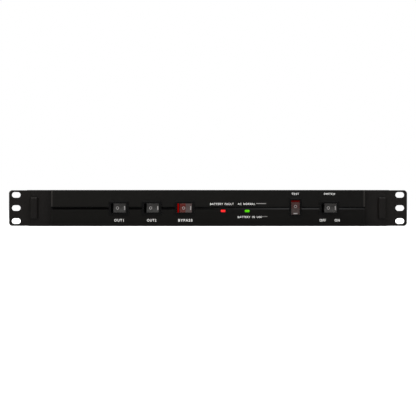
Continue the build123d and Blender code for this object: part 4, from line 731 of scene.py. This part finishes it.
def wind_copper(name, shade, pale_shade, wave_type, direction, wire, bump):
    """Enamelled copper wire wound close, turn beside turn, under varnish."""
    material, tree, shader, place = new_material(name)
    settings = {"wave_type": wave_type, "Scale": 0.314 / wire, "Distortion": 0.4, "Detail": 1.0}
    settings["rings_direction" if wave_type == "RINGS" else "bands_direction"] = direction
    turns = add_node(tree, "ShaderNodeTexWave", settings, {"Vector": place})
    tone = blend(tree, turns.outputs["Fac"], shade, pale_shade)
    relief = add_node(
        tree, "ShaderNodeBump", {"Strength": bump, "Distance": wire / 3}, {"Height": turns.outputs["Fac"]}
    )
    tree.links.new(tone, shader.inputs["Base Color"])
    tree.links.new(relief.outputs[0], shader.inputs["Normal"])
    shader.inputs["Metallic"].default_value = 1.0
    shader.inputs["Roughness"].default_value = 0.33
    return material


# Line chokes: ring cores wound with enamelled copper wire, standing on the main board.
choke_wire = wind_copper("enamelled_copper_chokes", "#6d2f14", "#b8683a", "BANDS", "Y", 1.0 * mm, 0.8)
give_finish(choke_wire, "line_choke")

# Mains transformer: a stack of varnished steel plates with a copper coil round its middle leg, on four long
# bolts. The plates' edges show as fine lines.
core_plates, tree, shader, place = new_material("varnished_core_plates")
plates = add_node(
    tree,
    "ShaderNodeTexWave",
    {"wave_type": "BANDS", "bands_direction": "Z", "Scale": 0.314 / (0.5 * mm), "Distortion": 0.3},
    {"Vector": place},
)
plate_tone = blend(tree, plates.outputs["Fac"], "#2c2d30", "#57585c")
plate_bump = add_node(
    tree, "ShaderNodeBump", {"Strength": 0.5, "Distance": 0.1 * mm}, {"Height": plates.outputs["Fac"]}
)
tree.links.new(plate_tone, shader.inputs["Base Color"])
tree.links.new(plate_bump.outputs[0], shader.inputs["Normal"])
shader.inputs["Roughness"].default_value = 0.45
shader.inputs["Metallic"].default_value = 0.7
give_finish(core_plates, "transformer_core")
coil_wire = wind_copper("varnished_copper_coil", "#7a3818", "#c27a46", "BANDS", "Y", 1.2 * mm, 0.7)
give_finish(coil_wire, "transformer_coil")

# Switch blades and inlet pins: tinned and nickel plated brass strip, drawn lengthwise.
blade_tin = plate_metal("tinned_brass_blades", "#b3afa4", "#cfccc2", 0.4 * mm, 0.3, (1.0, 0.1, 1.0))
give_finish(blade_tin, "switch_blades")
pin_nickel = plate_metal("nickel_plated_pins", "#a9a69c", "#d0cdc4", 0.4 * mm, 0.2, (1.0, 0.1, 1.0))
give_finish(pin_nickel, "inlet_pins")

# Mains inlet and outlets: glass-filled nylon couplers that snap into the rear wall from outside. They are
# matt black, with a bevelled flange.
socket_nylon = mould_plastic("matt_black_nylon_sockets", "#101011", "#17171a", 0.4 * mm, 0.46, 0.35 * mm)
give_finish(socket_nylon, "mains_inlet", "outlet_1", "outlet_2", "outlet_3", "outlet_4")

# Circuit breaker: black phenolic body and neck behind a plated ring nut, with an ivory reset button.
breaker_phenolic = mould_plastic("black_phenolic_breaker", "#141312", "#1c1a18", 0.6 * mm, 0.4, 0.3 * mm)
give_finish(breaker_phenolic, "breaker_body")
button_plastic = mould_plastic("ivory_urea_button", "#c9c4b4", "#d8d4c6", 0.8 * mm, 0.3, 0.4 * mm, 0.5)
give_finish(button_plastic, "breaker_button")

# Data ports: black nylon network sockets, and one square socket in a tinned steel shield.
jack_nylon = mould_plastic("black_nylon_network_sockets", "#0f0f10", "#161617", 0.3 * mm, 0.42, 0.2 * mm)
give_finish(jack_nylon, "network_jacks")
shield_tin = plate_metal("tinned_steel_shield", "#9da0a3", "#c1c4c6", 0.8 * mm, 0.3)
give_finish(shield_tin, "usb_jack")

# Fan frame and finger guard: a moulded duct in black PBT behind the rear wall, and a stamped steel guard
# outside it, nickel plated. Four screws pass through both.
fan_pbt = mould_plastic("black_pbt_fan", "#111111", "#181818", 0.5 * mm, 0.42, 0.25 * mm)
give_finish(fan_pbt, "fan_frame")
guard_nickel = plate_metal("nickel_plated_guard", "#989a9c", "#c4c6c8", 0.5 * mm, 0.26)
give_finish(guard_nickel, "fan_guard")

# Fan rotor: moulded in one piece, a hub with a domed rim and seven twisted blades. It turns on its own
# shaft, and stands in for the solid one with its flat blades.
fan_low, fan_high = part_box("fan_frame")
fan_axis = Vector(((fan_low.x + fan_high.x) / 2, 0.0, (fan_low.z + fan_high.z) / 2))
hub_radius = 10.5 * mm
hub_wall = 2.0 * mm
hub_depth = 14.0 * mm
hub_front = fan_low.y + 3.2 * mm
tip_radius = 18.2 * mm
blade_count = 7
blade_chord = 12.0 * mm
blade_thickness = 1.1 * mm
root_angle = 52.0
tip_angle = 32.0
blade_rows = 6

bpy.ops.object.select_all(action="DESELECT")
bpy.ops.mesh.primitive_cylinder_add(
    vertices=64,
    radius=hub_radius,
    depth=hub_depth,
    location=(0, hub_depth / 2, 0),
    rotation=(math.radians(90), 0, 0),
)
hub = bpy.context.object
bpy.ops.object.transform_apply(location=True, rotation=True, scale=True)
bpy.context.scene.tool_settings.mesh_select_mode = (False, False, True)
for face in hub.data.polygons:
    face.select = face.normal.y < -0.9
bpy.ops.object.mode_set(mode="EDIT")
bpy.ops.mesh.inset(thickness=hub_wall)
bpy.ops.mesh.extrude_region_move(TRANSFORM_OT_translate={"value": (0, hub_depth - hub_wall, 0)})
bpy.ops.object.mode_set(mode="OBJECT")
bpy.context.scene.tool_settings.mesh_select_mode = (False, True, False)
for edge in hub.data.edges:
    ends = [hub.data.vertices[v].co for v in edge.vertices]
    at_rim = [math.hypot(co.x, co.z) > hub_radius - 0.1 * mm for co in ends]
    edge.select = all(at_rim) and all(co.y > hub_depth - 0.1 * mm for co in ends)
bpy.ops.object.mode_set(mode="EDIT")
bpy.ops.mesh.bevel(offset=1.5 * mm, segments=5)
bpy.ops.object.mode_set(mode="OBJECT")
rotor_parts = [hub]

bpy.ops.object.select_all(action="DESELECT")
bpy.ops.mesh.primitive_grid_add(x_subdivisions=blade_rows, y_subdivisions=4, size=1.0)
blade = bpy.context.object
span = tip_radius - hub_radius + 0.5 * mm
blade.scale = (span, blade_chord, 1.0)
blade.location = (hub_radius - 0.5 * mm + span / 2, 0.0, 0.0)
bpy.ops.object.transform_apply(location=True, rotation=True, scale=True)
bpy.context.scene.tool_settings.mesh_select_mode = (True, False, False)
for row in range(blade_rows + 1):
    row_x = hub_radius - 0.5 * mm + span * row / blade_rows
    for point in blade.data.vertices:
        point.select = abs(point.co.x - row_x) < span / (4 * blade_rows)
    turned = math.radians(root_angle + (tip_angle - root_angle) * row / blade_rows)
    bpy.ops.object.mode_set(mode="EDIT")
    bpy.ops.transform.rotate(value=turned, orient_axis="X", center_override=(row_x, 0, 0))
    bpy.ops.object.mode_set(mode="OBJECT")
    bpy.ops.object.mode_set(mode="EDIT")
    bpy.ops.mesh.select_all(action="DESELECT")
    bpy.ops.object.mode_set(mode="OBJECT")
thicken = blade.modifiers.new("blade_wall", "SOLIDIFY")
thicken.thickness = blade_thickness
thicken.offset = 0.0
bpy.ops.object.modifier_apply(modifier="blade_wall")
rounded = blade.modifiers.new("blade_edge", "BEVEL")
rounded.width = 0.35 * mm
rounded.segments = 2
rounded.angle_limit = math.radians(60)
bpy.ops.object.modifier_apply(modifier="blade_edge")
blade.data.transform(Matrix.Translation((0, hub_depth / 2, 0)))
for number in range(1, blade_count):
    copy = blade.copy()
    copy.data = blade.data.copy()
    copy.data.transform(Matrix.Rotation(math.radians(360 * number / blade_count), 4, "Y"))
    bpy.context.scene.collection.objects.link(copy)
    rotor_parts.append(copy)
rotor_parts.append(blade)
bpy.ops.object.select_all(action="DESELECT")
for piece in rotor_parts:
    piece.select_set(True)
bpy.context.view_layer.objects.active = hub
bpy.ops.object.join()
bpy.ops.object.shade_smooth_by_angle(angle=math.radians(35))
hub.location = (fan_axis.x, hub_front, fan_axis.z)
finish_piece(hub, "fan_rotor_moulding", fan_pbt, "fan")
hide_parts("fan_rotor")

# Case screws: pan head machine screws with a cross recess, black zinc plated. Six hold the cover's sides
# and four pass the finger guard.
head_radius = 2.75 * mm
head_height = 1.8 * mm
shank_radius = 1.5 * mm
shank_length = 4.0 * mm
recess_length = 3.2 * mm
recess_width = 0.75 * mm
recess_depth = 1.0 * mm
screw_zinc = plate_metal("black_zinc_plated_screws", "#2e2f31", "#45474a", 0.4 * mm, 0.36)
bpy.ops.object.select_all(action="DESELECT")
bpy.ops.mesh.primitive_cylinder_add(
    vertices=40, radius=head_radius, depth=head_height, location=(0, 0, head_height / 2)
)
screw = bpy.context.object
bpy.ops.object.transform_apply(location=True, rotation=True, scale=True)
bpy.context.scene.tool_settings.mesh_select_mode = (False, False, True)
for face in screw.data.polygons:
    face.select = face.normal.z < -0.9
bpy.ops.object.mode_set(mode="EDIT")
bpy.ops.mesh.inset(thickness=head_radius - shank_radius)
bpy.ops.mesh.extrude_region_move(TRANSFORM_OT_translate={"value": (0, 0, -shank_length)})
bpy.ops.object.mode_set(mode="OBJECT")
bpy.context.scene.tool_settings.mesh_select_mode = (False, True, False)
for edge in screw.data.edges:
    edge.select = all(screw.data.vertices[v].co.z > head_height - 0.01 * mm for v in edge.vertices)
bpy.ops.object.mode_set(mode="EDIT")
bpy.ops.mesh.bevel(offset=1.0 * mm, segments=5)
bpy.ops.object.mode_set(mode="OBJECT")
for turn in (0, 90):
    bpy.ops.object.select_all(action="DESELECT")
    bpy.ops.mesh.primitive_cube_add(
        size=1.0,
        scale=(recess_length, recess_width, 2 * recess_depth),
        location=(0, 0, head_height),
        rotation=(0, 0, math.radians(turn)),
    )
    cutter = bpy.context.object
    recess = screw.modifiers.new("cross_recess", "BOOLEAN")
    recess.operation = "DIFFERENCE"
    recess.object = cutter
    bpy.context.view_layer.objects.active = screw
    bpy.ops.object.modifier_apply(modifier="cross_recess")
    bpy.data.objects.remove(cutter)
screw.data.shade_smooth()
bpy.ops.object.select_all(action="DESELECT")
screw.select_set(True)
bpy.context.view_layer.objects.active = screw
bpy.ops.object.shade_smooth_by_angle(angle=math.radians(30))

cover_low, cover_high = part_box("top_cover")
guard_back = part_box("fan_guard")[1].y
cover_screw_rows = (42.0 * mm, 193.0 * mm, 378.0 * mm)
guard_screw_reach = 16.0 * mm
screw_spin = 23
screw_z = cover_high.z - 7.0 * mm
screw_places = []
for y in cover_screw_rows:
    screw_places.append((Vector((cover_low.x, y, screw_z)), Vector((-1, 0, 0))))
    screw_places.append((Vector((cover_high.x, y, screw_z)), Vector((1, 0, 0))))
for across in (-guard_screw_reach, guard_screw_reach):
    for up in (-guard_screw_reach, guard_screw_reach):
        corner = Vector((fan_axis.x + across, guard_back, fan_axis.z + up))
        screw_places.append((corner, Vector((0, 1, 0))))
for number, (seat, outward) in enumerate(screw_places):
    copy = screw.copy()
    copy.data = screw.data.copy()
    bpy.context.scene.collection.objects.link(copy)
    spin = Matrix.Rotation(math.radians(screw_spin * number), 4, "Z")
    facing_out = outward.to_track_quat("Z", "Y").to_matrix().to_4x4()
    copy.matrix_world = Matrix.Translation(seat) @ facing_out @ spin
    finish_piece(copy, f"case_screw_{number + 1}", screw_zinc, "rack_unit")
    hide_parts("case_screws")
bpy.data.objects.remove(screw)

# Nuts and earth stud: a thin ring nut on the breaker's neck, and an M5 stud pressed into the rear wall with
# its nut. The nuts' corners are chamfered, and the stud is threaded to its end.
earth_low, earth_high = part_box("earth_stud")
breaker_low, breaker_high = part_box("breaker_body")
breaker_x = (breaker_low.x + breaker_high.x) / 2
earth_x = (earth_low.x + earth_high.x) / 2
rear_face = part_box("rear_nuts")[0].y
nut_list = [
    # name, place along the wall, radius over the corners, bore, height
    ("breaker_ring_nut", breaker_x, 8.2 * mm, 5.65 * mm, 3.0 * mm),
    ("earth_nut", earth_x, 4.6 * mm, 2.55 * mm, 4.0 * mm),
]
nut_zinc = plate_metal("bright_zinc_plated_nuts", "#9b9ea1", "#c3c6c8", 0.5 * mm, 0.28)
for name, x, corner_radius, bore, height in nut_list:
    bpy.ops.object.select_all(action="DESELECT")
    bpy.ops.mesh.primitive_cylinder_add(vertices=6, radius=corner_radius, depth=height)
    nut = bpy.context.object
    bpy.ops.mesh.primitive_cylinder_add(vertices=72, radius=corner_radius, depth=height)
    cone = bpy.context.object
    rounded = cone.modifiers.new("corner_chamfer", "BEVEL")
    rounded.width = corner_radius * 0.1
    rounded.segments = 1
    bpy.ops.object.modifier_apply(modifier="corner_chamfer")
    bpy.ops.mesh.primitive_cylinder_add(vertices=48, radius=bore, depth=3 * height)
    drill = bpy.context.object
    for operation, cutter in (("INTERSECT", cone), ("DIFFERENCE", drill)):
        cut = nut.modifiers.new("nut_cut", "BOOLEAN")
        cut.operation = operation
        cut.object = cutter
        bpy.context.view_layer.objects.active = nut
        bpy.ops.object.modifier_apply(modifier="nut_cut")
        bpy.data.objects.remove(cutter)
    upright = Matrix.Rotation(math.radians(90), 4, "X")
    nut.matrix_world = Matrix.Translation((x, rear_face + height / 2, 0)) @ upright
    finish_piece(nut, name, nut_zinc, "rack_unit")
    bpy.ops.object.shade_smooth_by_angle(angle=math.radians(30))
    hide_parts("rear_nuts")

thread_pitch = 0.8 * mm
thread_low = 2.1 * mm
thread_high = 2.5 * mm
stud_flange = 4.5 * mm
flange_height = 2.0 * mm
stud_length = earth_high.y - earth_low.y
ring_count = int((stud_length - flange_height) / (thread_pitch / 2)) - 1
bpy.ops.object.select_all(action="DESELECT")
bpy.ops.mesh.primitive_circle_add(vertices=36, radius=stud_flange, fill_type="NGON")
stud = bpy.context.object
bpy.ops.object.mode_set(mode="EDIT")
bpy.ops.mesh.select_all(action="SELECT")
bpy.ops.mesh.extrude_region_move(TRANSFORM_OT_translate={"value": (0, 0, flange_height)})
bpy.ops.mesh.inset(thickness=stud_flange - thread_high)
radius = thread_high
for number in range(ring_count):
    wanted = thread_low if number % 2 == 0 else thread_high
    bpy.ops.mesh.extrude_region_move(TRANSFORM_OT_translate={"value": (0, 0, thread_pitch / 2)})
    bpy.ops.transform.resize(value=(wanted / radius, wanted / radius, 1.0), center_override=(0, 0, 0))
    radius = wanted
bpy.ops.mesh.extrude_region_move(TRANSFORM_OT_translate={"value": (0, 0, thread_pitch / 2)})
bpy.ops.transform.resize(value=(0.8, 0.8, 1.0), center_override=(0, 0, 0))
bpy.ops.mesh.select_all(action="SELECT")
bpy.ops.mesh.normals_make_consistent(inside=False)
bpy.ops.object.mode_set(mode="OBJECT")
stud.matrix_world = Matrix.Translation((earth_x, earth_low.y, 0)) @ Matrix.Rotation(math.radians(-90), 4, "X")
finish_piece(stud, "earth_stud_threaded", nut_zinc, "rack_unit")
bpy.ops.object.shade_smooth_by_angle(angle=math.radians(60))
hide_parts("earth_stud")
